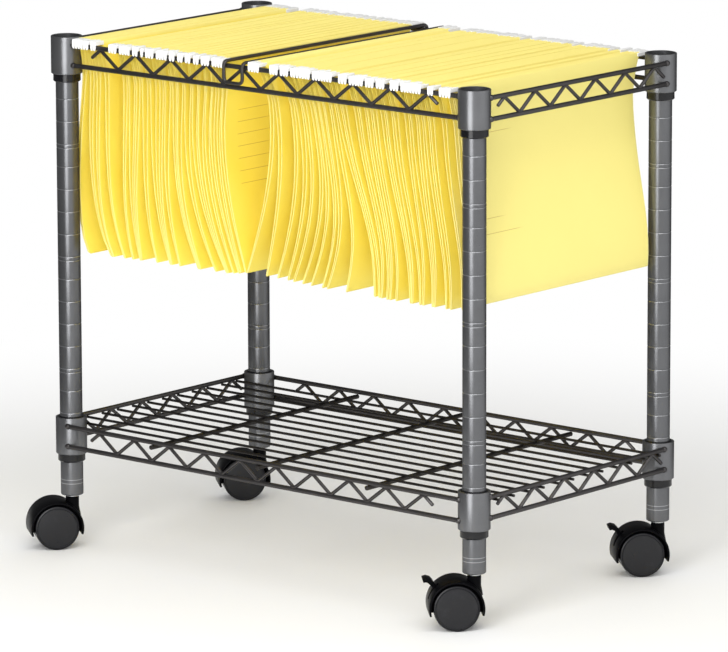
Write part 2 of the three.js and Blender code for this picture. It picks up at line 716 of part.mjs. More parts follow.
function bankShape(bank) {
  const leaves = leavesOf(bank);
  const pieces = [coreShape(leaves), ...leaves.map(leafShape)];
  const clusters = Math.max(1, Math.round((bank.to - bank.from) / CLUSTER_PITCH));
  const step = (bank.to - bank.from) / clusters;
  for (let k = 0; k < clusters; k++) {
    const middle = bank.from + (k + 0.5) * step;
    const half = CLUSTER_FILL * step / 2;
    for (const sign of [-1, 1]) pieces.push(plate(hookOutline(sign), middle - half, middle + half));
  }
  return join(pieces);
}

// Assembly

const cart = new THREE.Group();

for (const { name, x, y } of CORNERS) {
  const corner = new THREE.Group();
  corner.position.set(x, y, 0);
  addPiece(corner, `post_${name}`, postShape(), MATERIALS.graphitePaint);
  addPiece(corner, `post_cap_${name}`, capShape(), MATERIALS.blackPlastic);
  addPiece(corner, `top_sleeve_${name}`, sleeveShape(TOP_COLLAR, POST_TOP), MATERIALS.blackPlastic);
  const shelfSleeve = sleeveShape(SHELF_COLLAR, SHELF_RIM + SLEEVE_STAND);
  addPiece(corner, `shelf_sleeve_${name}`, shelfSleeve, MATERIALS.blackPlastic);
  addPiece(corner, `top_collar_${name}`, collarShape(TOP_COLLAR), MATERIALS.graphitePaint);
  addPiece(corner, `shelf_collar_${name}`, collarShape(SHELF_COLLAR), MATERIALS.graphitePaint);
  cart.add(corner);
}

const longTruss = {
  reach: HALF_X - RAIL_LAP,
  apexes: LONG_APEXES,
  pitch: LONG_APEX_PITCH,
  freeEnd: LONG_FREE_END,
};
const shortTruss = {
  reach: HALF_Y - RAIL_LAP,
  out: LAPPED_OFFSET,
  apexes: SHORT_APEXES,
  pitch: SHORT_APEX_PITCH,
  freeEnd: SHORT_FREE_END,
};
const topLong = { ...longTruss, out: HANGING_OFFSET, topZ: HANGING_Z, collarBottom: TOP_COLLAR };
const topShort = { ...shortTruss, topZ: FRAME_TOP - SHORT_RAIL_DROP, collarBottom: TOP_COLLAR };
const shelfLongZ = SHELF_RIM - LONG_RAIL_DROP;
const shelfLong = { ...longTruss, out: LAPPED_OFFSET, topZ: shelfLongZ, collarBottom: SHELF_COLLAR };
const shelfShort = { ...shortTruss, topZ: SHELF_SIDE_Z, collarBottom: SHELF_COLLAR };

for (const [side, at] of Object.entries(LONG_SIDES)) {
  addPiece(cart, `top_truss_${side}`, trussShape(at, topLong), MATERIALS.wirePaint);
  addPiece(cart, `shelf_truss_${side}`, trussShape(at, shelfLong), MATERIALS.wirePaint);
}
for (const [side, at] of Object.entries(SHORT_SIDES)) {
  addPiece(cart, `top_truss_${side}`, trussShape(at, topShort), MATERIALS.wirePaint);
  addPiece(cart, `shelf_truss_${side}`, trussShape(at, shelfShort), MATERIALS.wirePaint);
}
addPiece(cart, 'shelf_deck', deckShape(), MATERIALS.wirePaint);
addPiece(cart, 'file_divider', dividerShape(), MATERIALS.wirePaint);

for (const corner of CORNERS) cart.add(buildCaster(corner));

const dividerEdge = DIVIDER_WIDTH / 2 + cornerRadius(DIVIDER_RADIUS, WIRE_SIDES) + BANK_DIVIDER_GAP;
const bankLimit = HALF_X - COLLAR_RADIUS;
const leftEnd = LEFT_BANK_GAP - bankLimit;
const rightEnd = bankLimit - RIGHT_BANK_GAP;
const leftBank = {
  from: leftEnd,
  to: DIVIDER_X - dividerEdge,
  lean: 0,
  foldSteps: LEFT_FOLD_STEPS,
  bows: LEFT_BOWS,
};
const rightBank = {
  from: DIVIDER_X + dividerEdge,
  to: rightEnd,
  lean: RIGHT_BANK_LEAN,
  foldSteps: RIGHT_FOLD_STEPS,
  bows: RIGHT_BOWS,
};
addPiece(cart, 'folders_left', bankShape(leftBank), MATERIALS.yellowCard);
addPiece(cart, 'folders_right', bankShape(rightBank), MATERIALS.yellowCard);

// The origin is on the floor, below the middle of the whole cart
const model = new THREE.Group();
model.add(cart);
const middle = new THREE.Box3().setFromObject(cart).getCenter(new THREE.Vector3());
cart.position.set(-middle.x, -middle.y, 0);

export default model;
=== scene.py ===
# A mobile file cart dressed round its frame: grooved posts, wire trusses, casters and hanging folders.
import json
import math
import random

import bpy
from mathutils import Euler, Matrix, Vector


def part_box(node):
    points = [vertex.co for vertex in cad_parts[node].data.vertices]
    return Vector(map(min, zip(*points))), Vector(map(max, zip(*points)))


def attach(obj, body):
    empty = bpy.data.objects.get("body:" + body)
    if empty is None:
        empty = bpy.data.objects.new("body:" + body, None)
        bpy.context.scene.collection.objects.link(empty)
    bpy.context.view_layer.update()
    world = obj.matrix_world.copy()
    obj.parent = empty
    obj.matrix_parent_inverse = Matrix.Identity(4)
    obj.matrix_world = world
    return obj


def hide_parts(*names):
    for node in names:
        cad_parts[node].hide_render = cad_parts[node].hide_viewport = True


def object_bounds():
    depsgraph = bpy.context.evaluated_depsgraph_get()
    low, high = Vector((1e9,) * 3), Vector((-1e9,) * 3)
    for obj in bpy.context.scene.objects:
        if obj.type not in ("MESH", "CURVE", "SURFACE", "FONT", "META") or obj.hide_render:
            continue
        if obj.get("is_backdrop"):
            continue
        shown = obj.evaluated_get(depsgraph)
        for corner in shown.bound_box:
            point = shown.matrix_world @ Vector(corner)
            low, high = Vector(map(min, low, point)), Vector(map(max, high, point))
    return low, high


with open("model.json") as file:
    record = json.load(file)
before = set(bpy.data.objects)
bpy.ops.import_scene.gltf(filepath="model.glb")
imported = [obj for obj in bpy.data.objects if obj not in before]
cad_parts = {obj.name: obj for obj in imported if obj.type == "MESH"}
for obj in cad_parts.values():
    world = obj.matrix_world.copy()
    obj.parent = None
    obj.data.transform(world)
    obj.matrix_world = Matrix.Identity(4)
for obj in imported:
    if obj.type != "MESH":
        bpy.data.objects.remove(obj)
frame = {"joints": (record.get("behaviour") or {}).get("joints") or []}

CAD_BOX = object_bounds()
JOINTS = {joint["name"]: joint for joint in frame["joints"]}
MM = 0.001
TINY = 0.000001
CORNERS = ("front_left", "front_right", "back_right", "back_left")
BRAKED = ("front_right", "back_right")
LEVELS = ("top", "shelf")
SIDES = ("front", "back", "left", "right")

# Camera: a long lens from the front right, a little above the cart
CAMERA_PLACE = (4.3062, -5.0117, 1.5983)
CAMERA_YAW = math.radians(40.473)
CAMERA_PITCH = math.radians(11.405)
CAMERA_ROLL = math.radians(-0.17)
CAMERA_LENS = 301.8
SENSOR_WIDTH = 36

# Stage, in metres and watts: the floor fades to white between two distances from the cart, and the
# room is bright towards one side
FLOOR_RADIUS = 12
FLOOR_FACETS = 64
FLOOR_FADE = (0.55, 1.3)
AMBIENT = 0.64
ROOM_DARK = 0.12
BRIGHT_SIDE = math.radians(-5)
BRIGHT_EDGE = (0.05, 0.9)
# Lamps: the name, the place, the width, the height, the power and whether metal mirrors it
LAMP_AIM = Vector((0, 0, 0.3))
LAMPS = (
    ("over_light", (1.1, -0.95, 2.3), 2.2, 0.9, 20, True),
    ("front_strip", (0.53, -1.73, 0.75), 0.9, 1.5, 20, True),
    ("front_light", (1.9, -2.6, 1.1), 2.2, 1.8, 30, False),
    ("right_light", (2.6, 0.3, 1.3), 1.6, 1.8, 2, True),
    ("back_light", (-1.2, 2.4, 1.3), 2, 1.6, 16, False),
)

# Posts
POST_RADIUS = 12.7 * MM
POST_WALL = 1.2 * MM
POST_FOOT = 24 * MM
POST_CHAMFER = 0.9 * MM
GROOVE_STEP = 25.4 * MM
GROOVE_FIRST = 561 * MM
GROOVE_COUNT = 19
GROOVE_ABOVE = 0.25 * MM
GROOVE_BELOW = 1.1 * MM
GROOVE_DEPTH = 0.6 * MM
# The lower lip of a groove, as shares of its height and of its depth
GROOVE_LIP = ((0, 1), (0.33, 0.5), (0.66, 0.12), (1, 0))
TWIN_GROOVE_DROP = 4.3 * MM
TWIN_FIRST = 4
TWIN_EVERY = 5
BORE_RADIUS = 5.3 * MM

# How far the middle of a rounded edge stands in from its sharp corner, as a share of the round
ROUND_BULGE = 0.3

# Collars, sleeves and caps
COLLAR_RADIUS = 17.5 * MM
COLLAR_BORE = 15.6 * MM
COLLAR_TAPER = 0.8 * MM
COLLAR_ROUND = 0.7 * MM
COLLAR_LIP = 0.28 * MM
SLEEVE_RADIUS = 15.3 * MM
SLEEVE_BORE = 13 * MM
SLEEVE_CHAMFER = 1.2 * MM
SLEEVE_LIP = 0.3 * MM
SLEEVE_SLIT = 1.6 * MM
SLIT_TURN = math.radians(128.57)
CAP_ROUND = 0.4 * MM
CAP_RIM = 2.5 * MM
CAP_SLOPE = 0.8 * MM
CAP_DISH = 0.6 * MM

# Wires
RAIL_RADIUS = 2.75 * MM
RAIL_END_ROUND = 1.2 * MM
ZIGZAG_RADIUS = 2 * MM
ZIGZAG_BEND = 3 * MM
ZIGZAG_END_ROUND = 0.8 * MM
DECK_RADIUS = 1.6 * MM
DECK_END_ROUND = 0.5 * MM
DIVIDER_RADIUS = 2 * MM
DIVIDER_BEND = 5.5 * MM
RAIL_LAP = 10 * MM
APEX_SINK = 1.5 * MM
LONG_APEXES = 10
LONG_APEX_INSET = 57.5 * MM
LONG_FREE_ENDS = (16.5 * MM, 16.5 * MM)
SHORT_APEXES = 6
SHORT_APEX_INSET = 31 * MM
SHORT_FREE_ENDS = (14 * MM, 22 * MM)
DECK_WIRES = 12
CROSS_WIRES = 3
APEXES_PER_CROSS = 3
BEAD_RADIUS = 3.3 * MM
BEAD_STRETCH = 1.25
BEAD_SEGMENTS = 16
BEAD_RINGS = 10

# Casters, in their own frame: the stem on Z, the trail along +X and the axle along Y
WHEEL_RADIUS = 25 * MM
WHEEL_INNER = 6.1 * MM
WHEEL_OUTER = 21.6 * MM
WHEEL_CROWN = 2.4 * MM
WHEEL_DOME_SHARES = (0.89, 0.72, 0.54, 0.36, 0.18, 0)
TREAD_CHAMFER = 0.8 * MM
# The wheel's outer rim in millimetres, as steps in from the tread and down from the face
WHEEL_RIM = ((0, 3.8), (0.35, 2.8), (1.2, 2.2), (2, 2.1), (2.3, 2.5))
CASTER_TRAIL = 20 * MM
AXLE_RADIUS = 3 * MM
AXLE_END = 17.3 * MM
RUNNING_GAP = 0.3 * MM
WELL_RADIUS = 27.8 * MM
HOOD_RADIUS = 30 * MM
HOOD_HALF = 22.1 * MM
HOOD_ROUND = 1 * MM
HOOD_LIP = 0.4 * MM
HOOD_DROP = math.radians(14.48)
HOOD_STEPS = 40
WEB_HALF = 5.5 * MM
HUB_RADIUS = 8 * MM
NECK_RADIUS = 7.5 * MM
NECK_SKIRT = 9.4 * MM
NECK_TOP = 57.5 * MM
NECK_ROUND = 0.6 * MM
NECK_STRAIGHT = 46 * MM
NECK_BOTTOM = 36 * MM
STEM_PIN_RADIUS = 3 * MM
STEM_PIN_BOTTOM = 42.5 * MM
STEM_PIN_CHAMFER = 0.5 * MM
STEM_BRIM = 7.2 * MM
STEM_BRIM_ROUND = 0.3 * MM
STEM_THREAD_RADIUS = 5 * MM
STEM_THREAD_CHAMFER = 0.8 * MM
PIN_EDGE_SHARE = 0.15
BRAKE_PIN_RADIUS = 1.5 * MM
LEVER_BOSS = 2 * MM
BRAKE_ARM_HALF = 2.9 * MM
BRAKE_SLOT_HALF = 3.3 * MM
PEDAL_HALF = 8 * MM

# Hanging folders
CARD_THICKNESS = 0.45 * MM
CARD_STEPS = 8
PANEL_STEPS = 16
FOLDER_TOP_DROP = 0.5 * MM
FOLDER_HEIGHT = 242 * MM
BODY_FRONT = 147 * MM
BODY_BACK = 140 * MM
EAR_LENGTH = 13 * MM
EAR_DEPTH = 0.22
EAR_POWER = 1.6
# Where a change of tone starts and where it is full: the painted highlight, in from a card's edge, the
# painted sheen, down from its top and along X at the cart's right end. No edge highlight beside the ears
EDGE_HIGHLIGHT_REACH = (1.8 * MM, 0.54 * MM)
SHEEN_DEPTH = (6 * MM, 1.2 * MM)
SHEEN_END = (255 * MM, 275 * MM)
EAR_EDGE_DEPTH = 1.2 * EAR_DEPTH * FOLDER_HEIGHT
HEM_DEPTH = 13 * MM
HEM_RADIUS = 0.9 * MM
HEM_ARC_STEPS = 4
FOLD_HALF = 0.7 * MM
TEMPLATE_HALF = 4 * MM
SWAY_POWER = 2.1
RIPPLES = (0.1 * MM, 0.4 * MM)
RIPPLE_RATES = (3, 7)
RIPPLE_EDGE_POWER = 4
RIPPLE_ONSET = 6
FOLDER_SEED = 7
HOOK_WIDTH = 3.8 * MM
HOOK_PITCH = 4 * MM
HOOK_RISES = (4.1 * MM, 4.7 * MM, 5.2 * MM)
HOOK_LIP = 1.5 * MM
HOOK_HOLD = 4 * MM
HOOK_NARROWING = 0.5
HOOK_CHAMFER = 0.8 * MM
HOOK_ROUND = 0.45 * MM
BANK_GAPS = {"left": (1.5 * MM, 0.6 * MM), "right": (5 * MM, 6.5 * MM)}
# Hook tips along a rail, from the left: how many stand side by side, and the gap after them in millimetres
TIP_RUNS = {
    "left": (
        (6, 3), (2, 18.6), (3, 3.5), (4, 3.5), (2, 4), (1, 3), (3, 3.5), (4, 3), (2, 4), (2, 3), (2, 4),
        (2, 3), (3, 3.5), (4, 0),
    ),
    "right": (
        (4, 15), (3, 3), (3, 3), (7, 3), (7, 9), (3, 3), (5, 3), (3, 3), (3, 7.5), (3, 3), (7, 9), (2, 8),
        (4, 0),
    ),
}
# The first bottom fold of each bank, and the steps from fold to fold in millimetres
FIRST_FOLDS = {"left": -271 * MM, "right": -38 * MM}
FOLD_STEPS = {
    "left": (33, 2, 17, 12, 11, 2, 23, 20, 2, 12, 28, 2, 23, 16, 2, 8, 8, 2, 8),
    "right": (
        28, 16, 15, 8, 13, 12, 16, 7, 27, 40, 6, 3, 8, 4, 9, 20, 2, 11, 4, 13, 3, 16, 6, 16, 12, 13,
    ),
}
# How far the folders of each bank bow sideways, at even steps from its left end, in millimetres,
# how low the bow lies, as a power of the depth, how full it is, as a power of the bow,
# and how far the fold is lifted by the lean
BOWS = {"left": (-17, -7, -7, -11, -15, -19), "right": (13, 22, 18, 12, 8, 8)}
BOW_POWERS = {"left": (1.7, 2.2, 2.0, 1.5, 1.1, 0.78), "right": (0.8, 1.3, 1.9, 2.1, 2.3, 2.4)}
BOW_FULLNESS = {"left": (0.5, 1, 1, 1, 1, 1), "right": (1, 1, 1, 1, 1, 1)}
LIFTS = {"left": (-2, -1, 0, 0, 1, 4.5), "right": (4.5, 4, 2, 1, 1, 0, 0, 0, 0, 0, 10)}
# Score lines on the outer card of each bank, in millimetres: the first height, the pitch, how many,
# where they start and end across the card, and the X beyond which only that card lies
SCORE_LINES = {
    "left": ((516, 13.5, 7, -112, -50, -56.8),),
    "right": (
        (525, 13.5, 1, -140, -50, 277.2),
        (436, 13.5, 1, -140, -75, 289.2),
        (420, 13.5, 1, -140, -50, 292.7),
    ),
}
# How thick a score line is, as shares of the pitch, and how softly it starts and ends along the card
SCORE_WIDTH = (0.025, 0.06)
SCORE_START = 4 * MM
SCORE_END = 20 * MM
SCORE_CLEARANCE = 0.5 * MM

# Facets round the pieces
POST_FACETS = 48
WHEEL_FACETS = 64
NECK_FACETS = 48
PIN_FACETS = 24
BEND_SEGMENTS = 4
END_SEGMENTS = 3
WIRE_RESOLUTION = 3
SMOOTH_ANGLE = math.radians(35)


def middle(node):
    """The middle of a node's box."""
    low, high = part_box(node)
    return (low + high) / 2


# Places that come from the frame
POSTS = {corner: middle("post_" + corner) for corner in CORNERS}
CART_MIDDLE = (POSTS["front_left"] + POSTS["back_right"]) / 2
HALF_X = POSTS["back_right"].x - CART_MIDDLE.x
HALF_Y = POSTS["back_right"].y - CART_MIDDLE.y
POST_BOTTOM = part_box("post_front_left")[0].z
POST_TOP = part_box("post_front_left")[1].z
FRAME_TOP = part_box("top_collar_front_left")[1].z
SHELF_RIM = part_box("shelf_collar_front_left")[1].z
COLLAR_HEIGHT = FRAME_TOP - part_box("top_collar_front_left")[0].z
HANGING_Y = abs(middle("top_truss_front").y - CART_MIDDLE.y)
HANGING_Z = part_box("top_truss_front")[1].z - RAIL_RADIUS
FOLDER_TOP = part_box("folders_left")[1].z - FOLDER_TOP_DROP
FOLDER_BOTTOM = FOLDER_TOP - FOLDER_HEIGHT
CARD_MIDDLE = CART_MIDDLE.y + (BODY_BACK - BODY_FRONT) / 2
CARD_HALF = (BODY_BACK + BODY_FRONT) / 2


# Modelling helpers

def deselect():
    """Deselects everything, because an operator acts on all that is selected."""
    bpy.ops.object.select_all(action="DESELECT")


def take(piece):
    """Makes one piece the selected and active one."""
    deselect()
    piece.select_set(True)
    bpy.context.view_layer.objects.active = piece


def draw_line(points):
    """Draws edges through the points, each vertex pulled out of the last, and stays in edit mode."""
    deselect()
    bpy.ops.mesh.primitive_plane_add(size=MM, location=(0, 0, 0))
    line = bpy.context.object
    bpy.ops.object.mode_set(mode="EDIT")
    bpy.ops.mesh.select_mode(type="VERT")
    bpy.ops.mesh.merge(type="CENTER")
    bpy.ops.transform.translate(value=points[0])
    for start, end in zip(points, points[1:]):
        step = Vector(end) - Vector(start)
        bpy.ops.mesh.extrude_vertices_move(TRANSFORM_OT_translate={"value": step})
    bpy.ops.mesh.select_all(action="SELECT")
    bpy.ops.mesh.remove_doubles(threshold=TINY)
    return line


def close_mesh():
    """Merges doubles, turns the faces outwards and leaves edit mode."""
    bpy.ops.mesh.select_all(action="SELECT")
    bpy.ops.mesh.remove_doubles(threshold=TINY)
    bpy.ops.mesh.normals_make_consistent(inside=False)
    bpy.ops.object.mode_set(mode="OBJECT")


def turned(profile, steps, along="Z", closed=True, slit=0):
    """Spins a profile of (radius, height) points round Z or Y, all the way or short of a slit angle."""
    points = [(r, 0, h) if along == "Z" else (r, h, 0) for r, h in profile]
    axis = (0, 0, 1) if along == "Z" else (0, 1, 0)
    piece = draw_line(points + points[:1] if closed else points)
    bpy.ops.mesh.spin(steps=steps, angle=2 * math.pi - slit, center=(0, 0, 0), axis=axis)
    if slit:
        bpy.ops.mesh.select_all(action="SELECT")
        bpy.ops.mesh.fill_holes(sides=0)
    close_mesh()
    return piece


def bent_wire(points, radius, bend=0, closed=False, round_end=0):
    """Draws a route, rounds its corners and gives it a round section."""
    line = draw_line(points + points[:1] if closed else points)
    if bend:
        ends = () if closed else (Vector(points[0]), Vector(points[-1]))
        bpy.ops.object.mode_set(mode="OBJECT")
        for vertex in line.data.vertices:
            vertex.select = all((vertex.co - end).length > TINY for end in ends)
        bpy.ops.object.mode_set(mode="EDIT")
        bpy.ops.mesh.bevel(offset=bend, segments=BEND_SEGMENTS, affect="VERTICES")
    bpy.ops.object.mode_set(mode="OBJECT")
    bpy.ops.object.convert(target="CURVE")
    curve = bpy.context.object.data
    curve.bevel_depth = radius
    curve.bevel_resolution = WIRE_RESOLUTION
    bpy.ops.object.convert(target="MESH")
    wire = bpy.context.object
    bpy.ops.object.mode_set(mode="EDIT")
    bpy.ops.mesh.select_all(action="SELECT")
    bpy.ops.mesh.remove_doubles(threshold=TINY)
    bpy.ops.mesh.fill_holes(sides=0)
    if round_end:
        # Only the two end caps have more than four sides
        bpy.ops.mesh.select_face_by_sides(number=4, type="GREATER", extend=False)
        bpy.ops.mesh.bevel(offset=round_end, segments=END_SEGMENTS)
    close_mesh()
    return wire


def block(outline, half):
    """Fills an outline of (x, z) points and gives it a thickness along Y."""
    points = [(x, -half, z) for x, z in outline]
    piece = draw_line(points + points[:1])
    bpy.ops.mesh.edge_face_add()
    bpy.ops.mesh.extrude_region_move(TRANSFORM_OT_translate={"value": (0, 2 * half, 0)})
    close_mesh()
    return piece


def apply_modifier(piece, kind, **settings):
    """Adds a modifier with its settings and applies it."""
    modifier = piece.modifiers.new(kind.lower(), kind)
    for name, value in settings.items():
        setattr(modifier, name, value)
    take(piece)
    bpy.ops.object.modifier_apply(modifier=modifier.name)


def carve(piece, operation, *tools):
    """Joins tools to a piece or cuts them out of it, and removes them."""
    for tool in tools:
        apply_modifier(piece, "BOOLEAN", object=tool, operation=operation, solver="EXACT")
        bpy.data.objects.remove(tool)


def round_edges(piece, width, segments):
    """Bevels the sharp edges of a piece."""
    apply_modifier(
        piece, "BEVEL", width=width, segments=segments, limit_method="ANGLE", angle_limit=SMOOTH_ANGLE
    )


def move(piece, place):
    """Moves the mesh and leaves the object at the origin."""
    piece.data.transform(place)
    return piece


def copy_of(piece, place):
    """A copy with its own mesh, at another place."""
    twin = piece.copy()
    twin.data = piece.data.copy()
    bpy.context.collection.objects.link(twin)
    return move(twin, place)


def joined(pieces):
    """Joins pieces into the first of them."""
    deselect()
    for piece in pieces:
        piece.select_set(True)
    bpy.context.view_layer.objects.active = pieces[0]
    bpy.ops.object.join()
    return pieces[0]


def fit_out(piece, name, material, slot, body, node):
    """Names a piece, finishes it, and sets it on its body in place of its frame node."""
    piece.name = name
    piece.data.name = name
    piece.data.materials.clear()
    piece.data.materials.append(material)
    take(piece)
    bpy.ops.object.shade_smooth_by_angle(angle=SMOOTH_ANGLE)
    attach(piece, body)
    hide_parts(node)


# Materials

class Shade:
    """A socket of a material's nodes. Arithmetic on it adds Math nodes."""

    def __init__(self, tree, socket=None):
        self.tree = tree
        self.socket = socket

    def node(self, kind, inputs=None, output=0, **settings):
        """Adds a node: its settings first, then the values or links of its sockets."""
        made = self.tree.nodes.new("ShaderNode" + kind)
        for name, value in settings.items():
            setattr(made, name, value)
        for key, value in (inputs or {}).items():
            if isinstance(value, Shade):
                self.tree.links.new(value.socket, made.inputs[key])
            else:
                made.inputs[key].default_value = value
        return Shade(self.tree, made.outputs[output]) if made.outputs else None

    def math(self, operation, first, second):
        """Adds a Math node of two values."""
        return self.node("Math", {0: first, 1: second}, operation=operation)

    def __add__(self, other):
        return self.math("ADD", self, other)

    def __sub__(self, other):
        return self.math("SUBTRACT", self, other)

    def __mul__(self, other):
        return self.math("MULTIPLY", self, other)

    def __truediv__(self, other):
        return self.math("DIVIDE", self, other)

    def __rsub__(self, other):
        return self.math("SUBTRACT", other, self)

    __radd__ = __add__
    __rmul__ = __mul__

    def noise(self, scale, detail, roughness=0.5):
        """Noise over the place that this socket gives, with features about 1 / scale metres wide."""
        inputs = {"Vector": self, "Scale": scale, "Detail": detail, "Roughness": roughness}
        return self.node("TexNoise", inputs)

    def blend(self, first, second):
        """A colour between two others, by this value."""
        return self.node("Mix", {0: self, 6: first, 7: second}, output=2, data_type="RGBA")

    def step(self, low, high):
        """0 below low, 1 above high and a smooth rise between."""
        inputs = {"Value": self, "From Min": low, "From Max": high}
        return self.node("MapRange", inputs, interpolation_type="SMOOTHSTEP")

    def fraction(self):
        """What is left of the value above its whole number."""
        return self.node("Math", {0: self}, operation="FRACT")

    def bump(self, depth, strength):
        """A surface that this value raises, up to a depth in metres."""
        return self.node("Bump", {"Height": self, "Strength": strength, "Distance": depth})


def rgb(red, green, blue):
    """A colour as a socket takes it."""
    return (red, green, blue, 1.0)


# Tones of the finishes. The tint says how much of a mirror the metal paint stays at a grazing angle
EDGE_TINT = rgb(0.45, 0.45, 0.46)
# Painted highlight: a paler tone laid on the groove lips in place of their glint
GROOVE_HIGHLIGHT_TONE = rgb(0.6, 0.61, 0.63)
ZINC_TONES = (rgb(0.52, 0.53, 0.55), rgb(0.78, 0.79, 0.8))
CARD_TONES = (rgb(0.94, 0.77, 0.085), rgb(0.98, 0.82, 0.12))
# Painted sheen: a paler tone for the card tops and the right end, where the lamps light them most
PAINTED_SHEEN_TONE = rgb(0.92, 0.82, 0.29)
SCORE_TONE = rgb(0.5, 0.32, 0.03)
# Painted highlight: a paler tone for the card edges, where they catch the light
EDGE_HIGHLIGHT_TONE = rgb(0.98, 0.92, 0.45)
TIP_TONES = (rgb(0.76, 0.76, 0.74), rgb(0.85, 0.85, 0.84))
FLOOR_TONE = rgb(0.86, 0.86, 0.85)
WHITE = rgb(1, 1, 1)


def new_material(name):
    """A bare material and the place of each of its points, in the cart's frame."""
    material = bpy.data.materials.new(name)
    material.use_nodes = True
    material.node_tree.nodes.clear()
    place = Shade(material.node_tree).node("TexCoord", output="Object")
    return material, place


def finish_material(place, **inputs):
    """Ends a material in one surface. An underscore stands for a space."""
    named = {name.replace("_", " "): value for name, value in inputs.items()}
    surface = place.node("BsdfPrincipled", named)
    place.node("OutputMaterial", {"Surface": surface})


def part_of(place, axis):
    """One part of a place, X, Y or Z, as a value."""
    return place.node("SeparateXYZ", {0: place}, output=axis)


def groove_lips(place):
    """1 on the lower lip of each ring groove, single or twin, and 0 on the plain tube."""
    height = part_of(place, "Z")
    first_twin = GROOVE_FIRST - TWIN_FIRST * GROOVE_STEP - TWIN_GROOVE_DROP
    lips = []
    for first, step in ((GROOVE_FIRST, GROOVE_STEP), (first_twin, TWIN_EVERY * GROOVE_STEP)):
        below = ((first - height) / step).fraction() * step
        lips.append(1 - below.step(0.5 * GROOVE_BELOW, GROOVE_BELOW))
    return sum(lips)


def graphite_paint(name, dark, light, grooved=False):
    """Metallic paint with fine flakes, a slow drift of tone, a faint orange peel and a painted highlight
    on groove lips.
    """
    material, place = new_material(name)
    flakes = place.noise(2600, 1)
    clouds = place.noise(35, 3)
    color = (0.4 * clouds + 0.6 * flakes).step(0.3, 0.7).blend(rgb(*dark), rgb(*light))
    if grooved:
        # Painted highlight: the lower lip of each groove is painted paler, as if it caught the light
        color = (0.45 * groove_lips(place)).blend(color, GROOVE_HIGHLIGHT_TONE)
    roughness = 0.26 + 0.06 * place.noise(420, 2)
    peel = place.noise(700, 1).bump(0.01 * MM, 0.4)
    finish_material(
        place, Base_Color=color, Metallic=0.8, Roughness=roughness, Normal=peel, Specular_Tint=EDGE_TINT
    )
    return material


def moulded_plastic(name, dark, light, roughness, gloss, grain, depth):
    """Moulded plastic with a spark-eroded grain and faint scuffs."""
    material, place = new_material(name)
    scuffs = place.noise(90, 5, 0.7).step(0.52, 0.75)
    color = (0.7 * scuffs + 0.3 * place.noise(700, 2)).blend(rgb(*dark), rgb(*light))
    shine = roughness + 0.12 * (place.noise(150, 3) - 0.5)
    texture = place.noise(grain, 2).bump(depth, 0.5)
    finish_material(place, Base_Color=color, Roughness=shine, Normal=texture, Specular_IOR_Level=gloss)
    return material


def zinc_plate(name):
    """Bright zinc with a soft mottle."""
    material, place = new_material(name)
    color = place.noise(300, 3).blend(*ZINC_TONES)
    finish_material(place, Base_Color=color, Metallic=1.0, Roughness=0.2 + 0.2 * place.noise(800, 2))
    return material


def score_lines(place, lines):
    """1 on the thin lines scored across the outer card of a bank and 0 elsewhere."""
    height = part_of(place, "Z")
    across = part_of(place, "Y")
    outwards = part_of(place, "X")
    drawn = []
    for first, pitch, count, start, end, beyond in lines:
        steps = (first * MM - height) / (pitch * MM)
        thin = 1 - steps.fraction().step(*SCORE_WIDTH)
        # The pattern repeats without end, so only the steps up to the count are kept
        inside = steps.step(-0.02, -0.01) * (1 - steps.step(count - 0.5, count - 0.49))
        starting = across.step(start * MM, start * MM + SCORE_START)
        ending = across.step(end * MM - SCORE_END, end * MM)
        outer = outwards.step(beyond * MM - SCORE_CLEARANCE, beyond * MM + SCORE_CLEARANCE)
        drawn.append(thin * inside * starting * (1 - ending) * outer)
    return sum(drawn)


def painted_edge_highlight(place):
    """1 along the front and back edges of the cards below their ears, where a highlight is painted, and 0
    inside them.
    """
    across = part_of(place, "Y") - CARD_MIDDLE
    reach = across.node("Math", {0: across}, operation="ABSOLUTE")
    ears = part_of(place, "Z").step(FOLDER_TOP - EAR_EDGE_DEPTH, FOLDER_TOP)
    start, full = EDGE_HIGHLIGHT_REACH
    return reach.step(CARD_HALF - start, CARD_HALF - full) * (1 - ears)


def painted_sheen_mask(place):
    """1 where a sheen is painted on the cards, along their tops and at the right end, and 0 elsewhere."""
    start, full = SHEEN_DEPTH
    tops = part_of(place, "Z").step(FOLDER_TOP - start, FOLDER_TOP - full)
    end = part_of(place, "X").step(*SHEEN_END)
    return (tops + end).step(0, 1)


def yellow_card(name, lines):
    """Uncoated yellow card with a fibre mottle, painted sheen and edge highlights, and plain score lines.
    """
    material, place = new_material(name)
    fibres = place.noise(1400, 4, 0.7)
    clouds = place.noise(22, 3)
    tone = (0.5 * fibres + 0.5 * clouds).step(0.3, 0.72)
    base_tone = tone.blend(*CARD_TONES)
    # Painted sheen: the tops and the right end of the cards are painted paler, where the lamps light them
    # most
    sheened = (0.7 * painted_sheen_mask(place)).blend(base_tone, PAINTED_SHEEN_TONE)
    scored = (0.75 * score_lines(place, lines)).blend(sheened, SCORE_TONE)
    # Painted highlight: the front and back edges of the cards are painted paler, as if they caught the
    # light
    color = (0.5 * painted_edge_highlight(place)).blend(scored, EDGE_HIGHLIGHT_TONE)
    texture = (fibres + 0.6 * place.noise(260, 3)).bump(0.07 * MM, 0.5)
    shine = 0.5 + 0.12 * clouds
    finish_material(place, Base_Color=color, Roughness=shine, Normal=texture, Specular_IOR_Level=0.85)
    return material


def white_tip(name):
    """White moulded hook tips."""
    material, place = new_material(name)
    color = place.noise(240, 3).blend(*TIP_TONES)
    finish_material(place, Base_Color=color, Roughness=0.38 + 0.15 * place.noise(500, 2))
    return material


